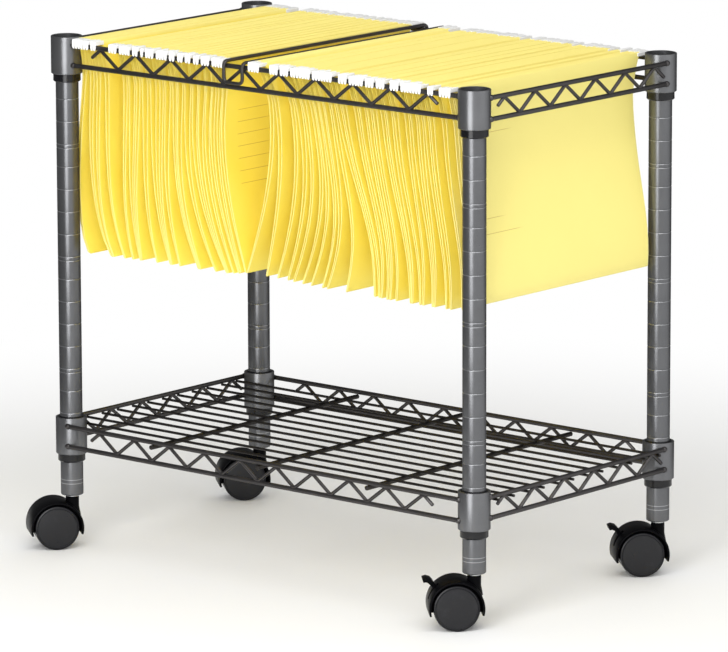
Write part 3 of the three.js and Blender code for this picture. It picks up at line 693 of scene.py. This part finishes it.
POST_PAINT = graphite_paint("post_graphite", (0.13, 0.132, 0.138), (0.16, 0.163, 0.17), grooved=True)
COLLAR_PAINT = graphite_paint("collar_graphite", (0.15, 0.152, 0.158), (0.185, 0.188, 0.195))
WIRE_PAINT = graphite_paint("wire_graphite", (0.07, 0.066, 0.066), (0.1, 0.095, 0.095))
# Painted shade: the deck wires take a darker copy of the wire paint, for the shade under the folders
SHADED_DECK_PAINT = graphite_paint("deck_graphite_painted_shade", (0.035, 0.032, 0.03), (0.055, 0.051, 0.048))
BLACK_PLASTIC = moulded_plastic(
    "sleeve_plastic", (0.004, 0.004, 0.005), (0.01, 0.01, 0.011), 0.2, 0.4, grain=2600, depth=0.02 * MM
)
HOOD_PLASTIC = moulded_plastic(
    "hood_nylon", (0.002, 0.002, 0.0025), (0.005, 0.005, 0.006), 0.34, 0.04, grain=2200, depth=0.06 * MM
)
WHEEL_PLASTIC = moulded_plastic(
    "wheel_nylon", (0.006, 0.006, 0.0075), (0.014, 0.014, 0.017), 0.3, 0.4, grain=3000, depth=0.05 * MM
)
ZINC = zinc_plate("bright_zinc")
CARDS = {side: yellow_card("yellow_card_" + side, lines) for side, lines in SCORE_LINES.items()}
WHITE_TIP = white_tip("white_hook_tip")


# Posts, collars, sleeves and caps

def groove(height):
    """A ring groove with a steep upper wall and a sloped lower lip."""
    points = [(POST_RADIUS, height + GROOVE_ABOVE)]
    for down, inwards in GROOVE_LIP:
        points.append((POST_RADIUS - inwards * GROOVE_DEPTH, height - down * GROOVE_BELOW))
    return points


def grooved_post():
    """The tube with its ring grooves, every fifth one a twin, and a bored foot."""
    foot_top = POST_BOTTOM + POST_FOOT
    inner = POST_RADIUS - POST_WALL
    profile = [(inner, foot_top), (inner, POST_TOP), (POST_RADIUS, POST_TOP)]
    for k in range(GROOVE_COUNT):
        height = GROOVE_FIRST - k * GROOVE_STEP
        profile += groove(height)
        if k % TWIN_EVERY == TWIN_FIRST:
            profile += groove(height - TWIN_GROOVE_DROP)
    profile += [
        (POST_RADIUS, POST_BOTTOM + POST_CHAMFER),
        (POST_RADIUS - POST_CHAMFER, POST_BOTTOM),
        (BORE_RADIUS, POST_BOTTOM),
        (BORE_RADIUS, foot_top),
    ]
    return turned(profile, POST_FACETS)


def rim_collar(top):
    """A collar with a tapered bore, which jams down on its sleeve."""
    bottom = top - COLLAR_HEIGHT
    mouth = COLLAR_BORE - COLLAR_TAPER
    return turned([
        (COLLAR_BORE, bottom),
        (COLLAR_RADIUS - COLLAR_ROUND, bottom),
        (COLLAR_RADIUS, bottom + COLLAR_ROUND),
        (COLLAR_RADIUS, top - COLLAR_ROUND),
        (COLLAR_RADIUS - ROUND_BULGE * COLLAR_ROUND, top - ROUND_BULGE * COLLAR_ROUND),
        (COLLAR_RADIUS - COLLAR_ROUND, top),
        (mouth + COLLAR_LIP, top),
        (mouth, top - COLLAR_LIP),
    ], POST_FACETS)


def split_sleeve(node):
    """A sleeve that tapers inside its collar, with a slit down one side."""
    low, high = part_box(node)
    mouth = SLEEVE_RADIUS - COLLAR_TAPER
    sleeve = turned([
        (SLEEVE_BORE, low.z),
        (SLEEVE_RADIUS - SLEEVE_CHAMFER, low.z),
        (SLEEVE_RADIUS, low.z + SLEEVE_CHAMFER),
        (SLEEVE_RADIUS, high.z - COLLAR_HEIGHT),
        (mouth, high.z - SLEEVE_LIP),
        (mouth - SLEEVE_LIP, high.z),
        (SLEEVE_BORE, high.z),
    ], POST_FACETS, slit=SLEEVE_SLIT / SLEEVE_RADIUS)
    return move(sleeve, Matrix.Rotation(SLIT_TURN, 4, "Z"))


def post_cap(node):
    """A dished cap on a plug that sits inside the post."""
    low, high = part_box(node)
    plug = POST_RADIUS - POST_WALL - RUNNING_GAP
    seat = POST_TOP + RUNNING_GAP
    return turned([
        (0, low.z),
        (plug, low.z),
        (plug, seat),
        (POST_RADIUS, seat),
        (POST_RADIUS, high.z - CAP_ROUND),
        (POST_RADIUS - CAP_ROUND, high.z),
        (POST_RADIUS - CAP_RIM, high.z),
        (POST_RADIUS - CAP_RIM - CAP_SLOPE, high.z - CAP_DISH),
        (0, high.z - CAP_DISH),
    ], POST_FACETS, closed=False)


def build_posts():
    """Models each piece once and copies it to the four corners."""
    post = grooved_post()
    collars = {"top": rim_collar(FRAME_TOP), "shelf": rim_collar(SHELF_RIM)}
    sleeves = {level: split_sleeve(level + "_sleeve_front_left") for level in LEVELS}
    cap = post_cap("post_cap_front_left")
    for corner in CORNERS:
        place = Matrix.Translation((POSTS[corner].x, POSTS[corner].y, 0))
        made = [
            ("post_" + corner, post, POST_PAINT, "post_paint"),
            ("post_cap_" + corner, cap, BLACK_PLASTIC, "black_plastic"),
        ]
        for level in LEVELS:
            made.append((f"{level}_collar_{corner}", collars[level], COLLAR_PAINT, "post_paint"))
            made.append((f"{level}_sleeve_{corner}", sleeves[level], BLACK_PLASTIC, "black_plastic"))
        for node, master, material, slot in made:
            fit_out(copy_of(master, place), "fine_" + node, material, slot, "frame", node)
    for master in (post, cap, *collars.values(), *sleeves.values()):
        bpy.data.objects.remove(master)


# Wire trusses, shelf and divider

def zigzag_points(at, top, bottom, apexes, pitch, free_ends):
    """The corners of a zigzag between two rails, with a free end past each outer apex."""
    high = top - APEX_SINK
    low = bottom + APEX_SINK
    end = (apexes - 1) * pitch / 2
    leg = math.hypot(pitch / 2, high - low)

    def free_point(sign, length):
        return at(sign * (end + length * pitch / 2 / leg), high - length * (high - low) / leg)

    points = [free_point(-1, free_ends[0])]
    for k in range(2 * apexes - 1):
        points.append(at(k * pitch / 2 - end, low if k % 2 else high))
    points.append(free_point(1, free_ends[1]))
    return points


def weld_bead(place, along_x):
    """A lump of weld where a rail end meets its collar."""
    deselect()
    bpy.ops.mesh.primitive_uv_sphere_add(
        segments=BEAD_SEGMENTS, ring_count=BEAD_RINGS, radius=BEAD_RADIUS, location=(0, 0, 0)
    )
    bead = bpy.context.object
    stretch = (BEAD_STRETCH, 1, 1) if along_x else (1, BEAD_STRETCH, 1)
    bpy.ops.transform.resize(value=stretch)
    bpy.ops.object.transform_apply(location=False, rotation=False, scale=True)
    return move(bead, Matrix.Translation(place))


def wire_truss(node, is_long):
    """Two rails with weld beads at their collars and a zigzag wire between them."""
    low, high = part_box(node)
    top = high.z - RAIL_RADIUS
    bottom = low.z + RAIL_RADIUS
    if is_long:
        plane = middle(node).y
        half, apexes, inset, free_ends = HALF_X, LONG_APEXES, LONG_APEX_INSET, LONG_FREE_ENDS
        offset = abs(plane - CART_MIDDLE.y) - HALF_Y
    else:
        plane = middle(node).x
        half, apexes, inset, free_ends = HALF_Y, SHORT_APEXES, SHORT_APEX_INSET, SHORT_FREE_ENDS
        offset = abs(plane - CART_MIDDLE.x) - HALF_X

    def at(along, z):
        if is_long:
            return Vector((CART_MIDDLE.x + along, plane, z))
        return Vector((plane, CART_MIDDLE.y + along, z))

    reach = half - RAIL_LAP
    pitch = 2 * (half - inset) / (apexes - 1)
    weld = half - math.sqrt(COLLAR_RADIUS ** 2 - offset ** 2)
    pieces = []
    for z in (top, bottom):
        pieces.append(bent_wire([at(-reach, z), at(reach, z)], RAIL_RADIUS, round_end=RAIL_END_ROUND))
        pieces += [weld_bead(at(sign * weld, z), is_long) for sign in (-1, 1)]
    zigzag = zigzag_points(at, top, bottom, apexes, pitch, free_ends)
    pieces.append(bent_wire(zigzag, ZIGZAG_RADIUS, bend=ZIGZAG_BEND, round_end=ZIGZAG_END_ROUND))
    return joined(pieces)


def shelf_deck():
    """Thin long wires on thick cross wires."""
    low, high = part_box("shelf_deck")
    deck_z = high.z - DECK_RADIUS
    cross_z = low.z + RAIL_RADIUS
    pitch = 2 * (HALF_Y - COLLAR_RADIUS - DECK_RADIUS - 2 * RUNNING_GAP) / (DECK_WIRES - 1)
    apex_pitch = 2 * (HALF_X - LONG_APEX_INSET) / (LONG_APEXES - 1)
    wires = []
    for k in range(DECK_WIRES):
        y = CART_MIDDLE.y + (k - (DECK_WIRES - 1) / 2) * pitch
        route = [(low.x, y, deck_z), (high.x, y, deck_z)]
        wires.append(bent_wire(route, DECK_RADIUS, round_end=DECK_END_ROUND))
    for k in range(CROSS_WIRES):
        x = CART_MIDDLE.x + (k - CROSS_WIRES // 2) * APEXES_PER_CROSS * apex_pitch
        route = [(x, low.y, cross_z), (x, high.y, cross_z)]
        wires.append(bent_wire(route, RAIL_RADIUS, round_end=DECK_END_ROUND))
    return joined(wires)


def file_divider():
    """A closed loop over the front and back rails, turned down at both ends."""
    low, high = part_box("file_divider")
    inset = Vector((1, 1, 1)) * DIVIDER_RADIUS
    low += inset
    high -= inset
    return bent_wire([
        (low.x, low.y, low.z),
        (low.x, low.y, high.z),
        (low.x, high.y, high.z),
        (low.x, high.y, low.z),
        (high.x, high.y, low.z),
        (high.x, high.y, high.z),
        (high.x, low.y, high.z),
        (high.x, low.y, low.z),
    ], DIVIDER_RADIUS, bend=DIVIDER_BEND, closed=True)


def build_wires():
    """Builds the eight trusses, the shelf deck and the divider."""
    for level in LEVELS:
        for side in SIDES:
            node = f"{level}_truss_{side}"
            truss = wire_truss(node, side in ("front", "back"))
            fit_out(truss, "fine_" + node, WIRE_PAINT, "wire_paint", "frame", node)
    fit_out(shelf_deck(), "fine_shelf_deck", SHADED_DECK_PAINT, "wire_paint", "frame", "shelf_deck")
    fit_out(file_divider(), "fine_file_divider", WIRE_PAINT, "wire_paint", "divider", "file_divider")


# Casters

AXLE_PLACE = Matrix.Translation((CASTER_TRAIL, 0, WHEEL_RADIUS))


def hood_section():
    """One half of the hood's section, as (radius, width) from the outer wall down to the hub."""
    return [
        (HOOD_RADIUS, HOOD_HALF - HOOD_ROUND),
        (HOOD_RADIUS - ROUND_BULGE * HOOD_ROUND, HOOD_HALF - ROUND_BULGE * HOOD_ROUND),
        (HOOD_RADIUS - HOOD_ROUND, HOOD_HALF),
        (WELL_RADIUS + HOOD_LIP, HOOD_HALF),
        (WELL_RADIUS, HOOD_HALF - HOOD_LIP),
        (WELL_RADIUS, WEB_HALF + HOOD_ROUND),
        (WELL_RADIUS - HOOD_ROUND, WEB_HALF),
        (HUB_RADIUS - HOOD_ROUND, WEB_HALF),
    ]


def hood_shell():
    """The section swept over the wheels from front to back, closed at both ends."""
    half = hood_section()
    section = half + [(radius, -width) for radius, width in reversed(half)]
    points = [(r * math.cos(HOOD_DROP), width, -r * math.sin(HOOD_DROP)) for r, width in section]
    shell = draw_line(points + points[:1])
    sweep = math.pi + 2 * HOOD_DROP
    bpy.ops.mesh.spin(steps=HOOD_STEPS, angle=sweep, center=(0, 0, 0), axis=(0, 1, 0))
    bpy.ops.mesh.select_all(action="SELECT")
    bpy.ops.mesh.fill_holes(sides=0)
    close_mesh()
    return move(shell, AXLE_PLACE)


def wheel_well(side):
    """A cutter for the space of one wheel, on one side of the web."""
    inner = side * WEB_HALF
    outer = side * 2 * HOOD_HALF
    profile = [(0, inner), (WELL_RADIUS, inner), (WELL_RADIUS, outer), (0, outer)]
    return move(turned(profile, WHEEL_FACETS, along="Y", closed=False), AXLE_PLACE)


def swivel_neck():
    """The neck under the post, cut clear of both wheels."""
    neck = turned([
        (0, NECK_BOTTOM),
        (NECK_SKIRT, NECK_BOTTOM),
        (NECK_RADIUS, NECK_STRAIGHT),
        (NECK_RADIUS, NECK_TOP - NECK_ROUND),
        (NECK_RADIUS - NECK_ROUND, NECK_TOP),
        (0, NECK_TOP),
    ], NECK_FACETS, closed=False)
    carve(neck, "DIFFERENCE", wheel_well(-1), wheel_well(1))
    return neck


def axle_hub():
    """The bored hub in the middle of the web."""
    bore = AXLE_RADIUS + RUNNING_GAP
    hub = turned([
        (bore, -WEB_HALF),
        (HUB_RADIUS, -WEB_HALF),
        (HUB_RADIUS, WEB_HALF),
        (bore, WEB_HALF),
    ], PIN_FACETS, along="Y")
    return move(hub, AXLE_PLACE)


def caster_hood(brake):
    """Shell, neck and hub in one, bored for the stem and slotted for a brake."""
    hood = hood_shell()
    carve(hood, "UNION", swivel_neck(), axle_hub())
    bore = STEM_PIN_RADIUS + RUNNING_GAP
    bottom = STEM_PIN_BOTTOM - RUNNING_GAP
    pin_hole = [(0, bottom), (bore, bottom), (bore, 2 * NECK_TOP), (0, 2 * NECK_TOP)]
    carve(hood, "DIFFERENCE", turned(pin_hole, PIN_FACETS, closed=False))
    if brake:
        carve(hood, "DIFFERENCE", block(brake_slot_outline(), BRAKE_SLOT_HALF))
    return hood


def wheel_dome(share):
    """A point on the wheel's domed face, at a share of the radius."""
    return share * WHEEL_RADIUS, WHEEL_OUTER - WHEEL_CROWN * share ** 2


def caster_wheel():
    """A blind-bored wheel with a rounded tread, a raised rim and a domed face."""
    bore = AXLE_RADIUS + RUNNING_GAP
    blind = AXLE_END + RUNNING_GAP
    return turned([
        (0, blind),
        (bore, blind),
        (bore, WHEEL_INNER),
        (WHEEL_RADIUS - TREAD_CHAMFER, WHEEL_INNER),
        (WHEEL_RADIUS, WHEEL_INNER + TREAD_CHAMFER),
        *[(WHEEL_RADIUS - inwards * MM, WHEEL_OUTER - down * MM) for inwards, down in WHEEL_RIM],
        *[wheel_dome(share) for share in WHEEL_DOME_SHARES],
    ], WHEEL_FACETS, along="Y", closed=False)


def caster_stem(node):
    """The swivel pin, its flange and the thread in the foot of the post."""
    low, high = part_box(node)
    flange = NECK_TOP + RUNNING_GAP
    flange_top = POST_BOTTOM - RUNNING_GAP
    return turned([
        (0, low.z),
        (STEM_PIN_RADIUS - STEM_PIN_CHAMFER, low.z),
        (STEM_PIN_RADIUS, low.z + STEM_PIN_CHAMFER),
        (STEM_PIN_RADIUS, flange),
        (STEM_BRIM - STEM_BRIM_ROUND, flange),
        (STEM_BRIM, flange + STEM_BRIM_ROUND),
        (STEM_BRIM, flange_top - STEM_BRIM_ROUND),
        (STEM_BRIM - STEM_BRIM_ROUND, flange_top),
        (STEM_THREAD_RADIUS, flange_top),
        (STEM_THREAD_RADIUS, high.z - STEM_THREAD_CHAMFER),
        (STEM_THREAD_RADIUS - STEM_THREAD_CHAMFER, high.z),
        (0, high.z),
    ], PIN_FACETS, closed=False)


def round_pin(radius, half):
    """A pin along Y with chamfered ends."""
    edge = PIN_EDGE_SHARE * radius
    return turned([
        (0, -half),
        (radius - edge, -half),
        (radius, edge - half),
        (radius, half - edge),
        (radius - edge, half),
        (0, half),
    ], PIN_FACETS, along="Y", closed=False)


def ribbon(path, halves):
    """The outline of a strip along a path in X and Z, with a half thickness at each point."""
    left, right = [], []
    for k, point in enumerate(path):
        before = Vector(path[max(k - 1, 0)])
        after = Vector(path[min(k + 1, len(path) - 1)])
        run = (after - before).normalized()
        side = Vector((-run.y, run.x)) * halves[k]
        left.append(tuple(Vector(point) + side))
        right.append(tuple(Vector(point) - side))
    return left + right[::-1]


def from_axle(x, z):
    """A point in X and Z, given in millimetres from the axle."""
    return (CASTER_TRAIL + x * MM, WHEEL_RADIUS + z * MM)


# The lever's middle line, from its pin out over the hood and up into a curved tab
LEVER_PIN = from_axle(15.37, 14.31)
LEVER_PATH = (
    LEVER_PIN,
    from_axle(20.8, 18.8),
    from_axle(23.9, 22.4),
    from_axle(25.9, 25.8),
    from_axle(28.6, 28.5),
    from_axle(32, 29.6),
    from_axle(35.3, 28.7),
)
LEVER_HALVES = tuple(half * MM for half in (2.4, 2.3, 2.3, 2.4, 2.5, 2.4, 2))
LEVER_ARM_POINTS = 4
LEVER_ROUND = 1.2 * MM
LEVER_PLACE = Matrix.Translation((LEVER_PIN[0], 0, LEVER_PIN[1]))


def brake_slot_outline():
    """The slot through the hood that the lever tips in."""
    return [from_axle(7, 10), from_axle(20, 0), from_axle(36, 12), from_axle(22, 27), from_axle(10, 17)]


def brake_lever():
    """A narrow arm on its pin and a wide curled pedal."""
    arm_end = LEVER_ARM_POINTS
    lever = block(ribbon(LEVER_PATH[:arm_end], LEVER_HALVES[:arm_end]), BRAKE_ARM_HALF)
    pedal = block(ribbon(LEVER_PATH[arm_end - 1:], LEVER_HALVES[arm_end - 1:]), PEDAL_HALF)
    carve(lever, "UNION", pedal)
    round_edges(lever, LEVER_ROUND, segments=3)
    boss = move(round_pin(BRAKE_PIN_RADIUS + LEVER_BOSS, BRAKE_ARM_HALF), LEVER_PLACE)
    bore = move(round_pin(BRAKE_PIN_RADIUS + RUNNING_GAP, HOOD_HALF), LEVER_PLACE)
    carve(lever, "UNION", boss)
    carve(lever, "DIFFERENCE", bore)
    return lever


def caster_place(corner):
    """Where a caster stands: on its post's axis, with its trail along the turned X axis."""
    axle = JOINTS[f"roll_{corner}_1"]
    stem = POSTS[corner]
    trail = Vector(axle["pos_m"]) - stem
    angle = math.atan2(trail.y, trail.x)
    return Matrix.Translation((stem.x, stem.y, 0)) @ Matrix.Rotation(angle, 4, "Z")


def build_casters():
    """Models each piece of a caster once and copies it under the four posts."""
    hoods = {brake: caster_hood(brake) for brake in (False, True)}
    wheel = caster_wheel()
    axle = round_pin(AXLE_RADIUS, AXLE_END)
    pin = round_pin(BRAKE_PIN_RADIUS, WEB_HALF)
    stem = caster_stem("caster_stem_front_left")
    lever = brake_lever()
    turn_round = Matrix.Rotation(math.pi, 4, "Z")
    for corner in CORNERS:
        place = caster_place(corner)
        brake = corner in BRAKED
        body = "caster_" + corner
        made = [
            ("caster_stem_" + corner, stem, place, ZINC, "zinc", "frame"),
            ("caster_hood_" + corner, hoods[brake], place, HOOD_PLASTIC, "caster_plastic", body),
            ("caster_axle_" + corner, axle, place @ AXLE_PLACE, ZINC, "zinc", body),
        ]
        for k, turn in ((1, Matrix.Identity(4)), (2, turn_round)):
            node = f"caster_wheel_{corner}_{k}"
            spot = place @ AXLE_PLACE @ turn
            made.append((node, wheel, spot, WHEEL_PLASTIC, "wheel_plastic", f"wheel_{corner}_{k}"))
        if brake:
            node = "brake_lever_" + corner
            made.append((node, lever, place, HOOD_PLASTIC, "caster_plastic", "brake_" + corner))
            made.append(("brake_pin_" + corner, pin, place @ LEVER_PLACE, ZINC, "zinc", body))
        for node, master, spot, material, slot, rider in made:
            fit_out(copy_of(master, spot), "fine_" + node, material, slot, rider, node)
    for master in (wheel, axle, pin, stem, lever, *hoods.values()):
        bpy.data.objects.remove(master)


# Hanging folders

def bank_ends(side):
    """The stretch of rail that a bank hangs on, between a collar and the divider."""
    divider_low, divider_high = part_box("file_divider")
    left_gap, right_gap = BANK_GAPS[side]
    if side == "left":
        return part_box("top_collar_front_left")[1].x + left_gap, divider_low.x - right_gap
    return divider_high.x + left_gap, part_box("top_collar_front_right")[0].x - right_gap


def tip_places(side):
    """Where the hook tips of a bank stand on their rails."""
    low, high = bank_ends(side)
    places = []
    start = 0
    for count, gap in TIP_RUNS[side]:
        places += [start + (k + 0.5) * HOOK_PITCH for k in range(count)]
        start += count * HOOK_PITCH + gap * MM
    stretch = (high - low) / start
    return [low + place * stretch for place in places]


def bottom_folds(side):
    """Where the bottom folds of a bank hang, along X."""
    folds = [CART_MIDDLE.x + FIRST_FOLDS[side]]
    for step in FOLD_STEPS[side]:
        folds.append(folds[-1] + step * MM)
    return folds


def value_along(values, share):
    """The value at a share of the way along evenly spaced values."""
    place = share * (len(values) - 1)
    step = min(int(place), len(values) - 2)
    return values[step] + (values[step + 1] - values[step]) * (place - step)


def panel_half(half, depth):
    """Half the opening between a folder's panels, which close from their rods down to the fold."""
    return half + (FOLD_HALF - half) * depth


def panel_line():
    """One panel's section as (offset, height), from its glued hem over the rod and down to the fold."""
    rod = FOLDER_TOP - HEM_RADIUS
    points = [(2 * HEM_RADIUS, FOLDER_TOP - HEM_DEPTH), (2 * HEM_RADIUS, rod)]
    for step in range(1, HEM_ARC_STEPS):
        angle = step * math.pi / HEM_ARC_STEPS
        points.append((HEM_RADIUS * (1 + math.cos(angle)), rod + HEM_RADIUS * math.sin(angle)))
    length = FOLDER_HEIGHT - HEM_RADIUS - 2 * FOLD_HALF
    for step in range(PANEL_STEPS + 1):
        points.append((0, rod - length * step / PANEL_STEPS))
    return points


def flat_folder():
    """One folder as a sheet with straight sides, its two hems and its bottom fold."""
    left, right = [], []
    for offset, height in panel_line():
        slope = panel_half(TEMPLATE_HALF, (FOLDER_TOP - height) / FOLDER_HEIGHT)
        left.append((offset - slope, height))
        right.append((slope - offset, height))
    section = left + [(0, FOLDER_BOTTOM)] + right[::-1]
    sheet = draw_line([(x, CARD_MIDDLE - CARD_HALF, z) for x, z in section])
    step = (0, 2 * CARD_HALF / CARD_STEPS, 0)
    for _ in range(CARD_STEPS):
        bpy.ops.mesh.extrude_region_move(TRANSFORM_OT_translate={"value": step})
    bpy.ops.object.mode_set(mode="OBJECT")
    return sheet


def hang_folder(sheet, bank, share, left, right, fold, rng):
    """A copy of the folder hung between its two rods, with ears at the top and its fold where it rests."""
    folder = copy_of(sheet, Matrix.Identity(4))
    centre = (left + right) / 2
    half = (right - left) / 2 + HEM_RADIUS
    bow = value_along(BOWS[bank], share) * MM
    bow_power = value_along(BOW_POWERS[bank], share)
    fullness = value_along(BOW_FULLNESS[bank], share)
    lift = value_along(LIFTS[bank], share) * MM
    ripples = []
    for _ in range(2):
        ripples.append((rng.uniform(*RIPPLES), rng.uniform(0, 2 * math.pi), rng.uniform(*RIPPLE_RATES)))
    for vertex in folder.data.vertices:
        depth = min(1, max(0, (FOLDER_TOP - vertex.co.z) / FOLDER_HEIGHT))
        side = 0 if abs(vertex.co.x) < TINY else math.copysign(1, vertex.co.x)
        offset = vertex.co.x - side * panel_half(TEMPLATE_HALF, depth)
        arch = max(0, math.sin(math.pi * depth ** bow_power)) ** fullness
        sway = (fold - centre) * depth ** SWAY_POWER + bow * arch
        size, phase, rate = ripples[0 if side < 0 else 1]
        across = (vertex.co.y - CARD_MIDDLE) / CARD_HALF
        loose = across ** RIPPLE_EDGE_POWER * min(1, RIPPLE_ONSET * depth) * abs(side)
        ripple = size * math.sin(rate * depth + phase) * loose
        ear = EAR_LENGTH * max(0, 1 - depth / EAR_DEPTH) ** EAR_POWER
        vertex.co.x = centre + side * panel_half(half, depth) + offset + sway + ripple
        vertex.co.y += across * ear
        vertex.co.z += lift * depth ** 2
    return folder


def hook_tip(rise, body_end):
    """One white hook tip over the front rail and the end of a card's ear, made on X = 0."""
    under = HANGING_Z + RAIL_RADIUS + RUNNING_GAP
    bottom = HANGING_Z - RAIL_RADIUS
    inner = HANGING_Y + RAIL_RADIUS + 2 * RUNNING_GAP
    outer = inner + HOOK_LIP
    top = under + rise
    hold = HOOK_HOLD - body_end - EAR_LENGTH
    outline = [
        (hold, under),
        (-inner, under),
        (-inner, HANGING_Z),
        (-inner, bottom),
        (-outer, bottom),
        (-outer, HANGING_Z),
        (-outer, top - HOOK_CHAMFER),
        (HOOK_CHAMFER - outer, top),
        (hold, top),
    ]
    tip = block(outline, HOOK_WIDTH / 2)
    for vertex in tip.data.vertices:
        if vertex.co.z < bottom + TINY:
            vertex.co.y *= HOOK_NARROWING
    round_edges(tip, HOOK_ROUND, segments=1)
    return move(tip, Matrix.Rotation(math.pi / 2, 4, "Z"))


def build_bank(side, material, rng):
    """Hangs one bank: its cards as one piece and its hook tips as another."""
    places = tip_places(side)
    folds = bottom_folds(side)
    sheet = flat_folder()
    folders = []
    for k, fold in enumerate(folds):
        share = k / (len(folds) - 1)
        folders.append(hang_folder(sheet, side, share, places[2 * k], places[2 * k + 1], fold, rng))
    bpy.data.objects.remove(sheet)
    cards = joined(folders)
    apply_modifier(cards, "SOLIDIFY", thickness=CARD_THICKNESS, offset=0)
    body = "folders_" + side
    fit_out(cards, f"folder_cards_{side}", material, "yellow_card", body, body)
    tips = []
    for body_end, turn in ((BODY_FRONT, 0), (BODY_BACK, math.pi)):
        masters = [hook_tip(rise, body_end) for rise in HOOK_RISES]
        for place in places:
            spot = Matrix.Translation((place, CART_MIDDLE.y, 0)) @ Matrix.Rotation(turn, 4, "Z")
            tips.append(copy_of(rng.choice(masters), spot))
        for master in masters:
            bpy.data.objects.remove(master)
    fit_out(joined(tips), f"hook_tips_{side}", WHITE_TIP, None, body, body)


def build_folders():
    """Hangs both banks, with one run of random numbers."""
    rng = random.Random(FOLDER_SEED)
    for side, material in CARDS.items():
        build_bank(side, material, rng)


# Stage: floor, light and camera

def looks_that_see(tree):
    """Whether the camera, a mirror or a clear piece looks at a surface, as three values."""
    seen = tree.node("LightPath", output="Is Camera Ray")
    mirrored = tree.node("LightPath", output="Is Glossy Ray")
    through = tree.node("LightPath", output="Is Transmission Ray")
    return seen, mirrored, through


def room_light(place):
    """How bright the room looks in metal, by the direction of a place: full towards its bright side."""
    level = place.node("VectorMath", {0: place, 1: (1, 1, 0)}, operation="MULTIPLY")
    heading = place.node("VectorMath", {0: level}, operation="NORMALIZE")
    bright = (math.cos(BRIGHT_SIDE), math.sin(BRIGHT_SIDE), 0)
    turn = place.node("VectorMath", {0: heading, 1: bright}, output="Value", operation="DOT_PRODUCT")
    return ROOM_DARK + (1 - ROOM_DARK) * turn.step(*BRIGHT_EDGE)


def pale_floor():
    """A pale floor that keeps the cart's shadow and fades to white away from it."""
    deselect()
    bpy.ops.mesh.primitive_circle_add(
        vertices=FLOOR_FACETS, radius=FLOOR_RADIUS, fill_type="NGON", location=(0, 0, 0)
    )
    floor = bpy.context.object
    floor.name = "floor"
    material, place = new_material("pale_floor")
    reach = place.node("VectorMath", {0: place}, output="Value", operation="LENGTH")
    seen, mirrored, through = looks_that_see(place)
    room = room_light(place)
    fade = reach.step(*FLOOR_FADE) * (seen + mirrored + through)
    matte = place.node("BsdfDiffuse", {"Color": FLOOR_TONE})
    white = place.node("Emission", {"Color": WHITE, "Strength": seen + through + mirrored * room})
    surface = place.node("MixShader", {0: fade, 1: matte, 2: white})
    place.node("OutputMaterial", {"Surface": surface})
    floor.data.materials.append(material)
    floor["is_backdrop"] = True


def white_world():
    """White behind the cart, a plain even light from all round, and the same room in reflections."""
    world = bpy.data.worlds.new("white_studio")
    world.use_nodes = True
    world.node_tree.nodes.clear()
    tree = Shade(world.node_tree)
    heading = tree.node("TexCoord", output="Generated")
    seen, mirrored, through = looks_that_see(tree)
    direct = seen + through
    strength = direct + mirrored * room_light(heading) + (1 - direct - mirrored) * AMBIENT
    background = tree.node("Background", {"Color": WHITE, "Strength": strength})
    tree.node("OutputWorld", {"Surface": background})
    bpy.context.scene.world = world


def soft_box(name, place, width, height, power, mirrored):
    """A soft area lamp that faces the middle of the cart, and shows in metal only if mirrored."""
    lamp = bpy.data.lights.new(name, "AREA")
    lamp.shape = "RECTANGLE"
    lamp.size = width
    lamp.size_y = height
    lamp.energy = power
    box = bpy.data.objects.new(name, lamp)
    bpy.context.collection.objects.link(box)
    box.location = place
    box.visible_camera = False
    box.visible_glossy = mirrored
    aim = LAMP_AIM - box.location
    box.rotation_euler = aim.to_track_quat("-Z", "Y").to_euler()


def add_camera():
    """Looks at the cart from the front right."""
    data = bpy.data.cameras.new("camera")
    data.sensor_width = SENSOR_WIDTH
    data.lens = CAMERA_LENS
    camera = bpy.data.objects.new("camera", data)
    bpy.context.collection.objects.link(camera)
    level = Euler((math.pi / 2 - CAMERA_PITCH, 0, CAMERA_YAW)).to_matrix()
    turn = level @ Matrix.Rotation(CAMERA_ROLL, 3, "Z")
    camera.matrix_world = Matrix.Translation(CAMERA_PLACE) @ turn.to_4x4()
    bpy.context.scene.camera = camera


def light_stage():
    """Sets the floor, the world and the lamps, and shows colours as they are written."""
    pale_floor()
    white_world()
    for lamp in LAMPS:
        soft_box(*lamp)
    bpy.context.scene.view_settings.view_transform = "Standard"


def write_sizes():
    """Works out the box of the frame and the box of the dressed cart, without keeping them."""
    boxes = {"cad": CAD_BOX, "visual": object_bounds()}
    plain = {name: [list(corner) for corner in box] for name, box in boxes.items()}


add_camera()
light_stage()
build_posts()
build_wires()
build_casters()
build_folders()
write_sizes()
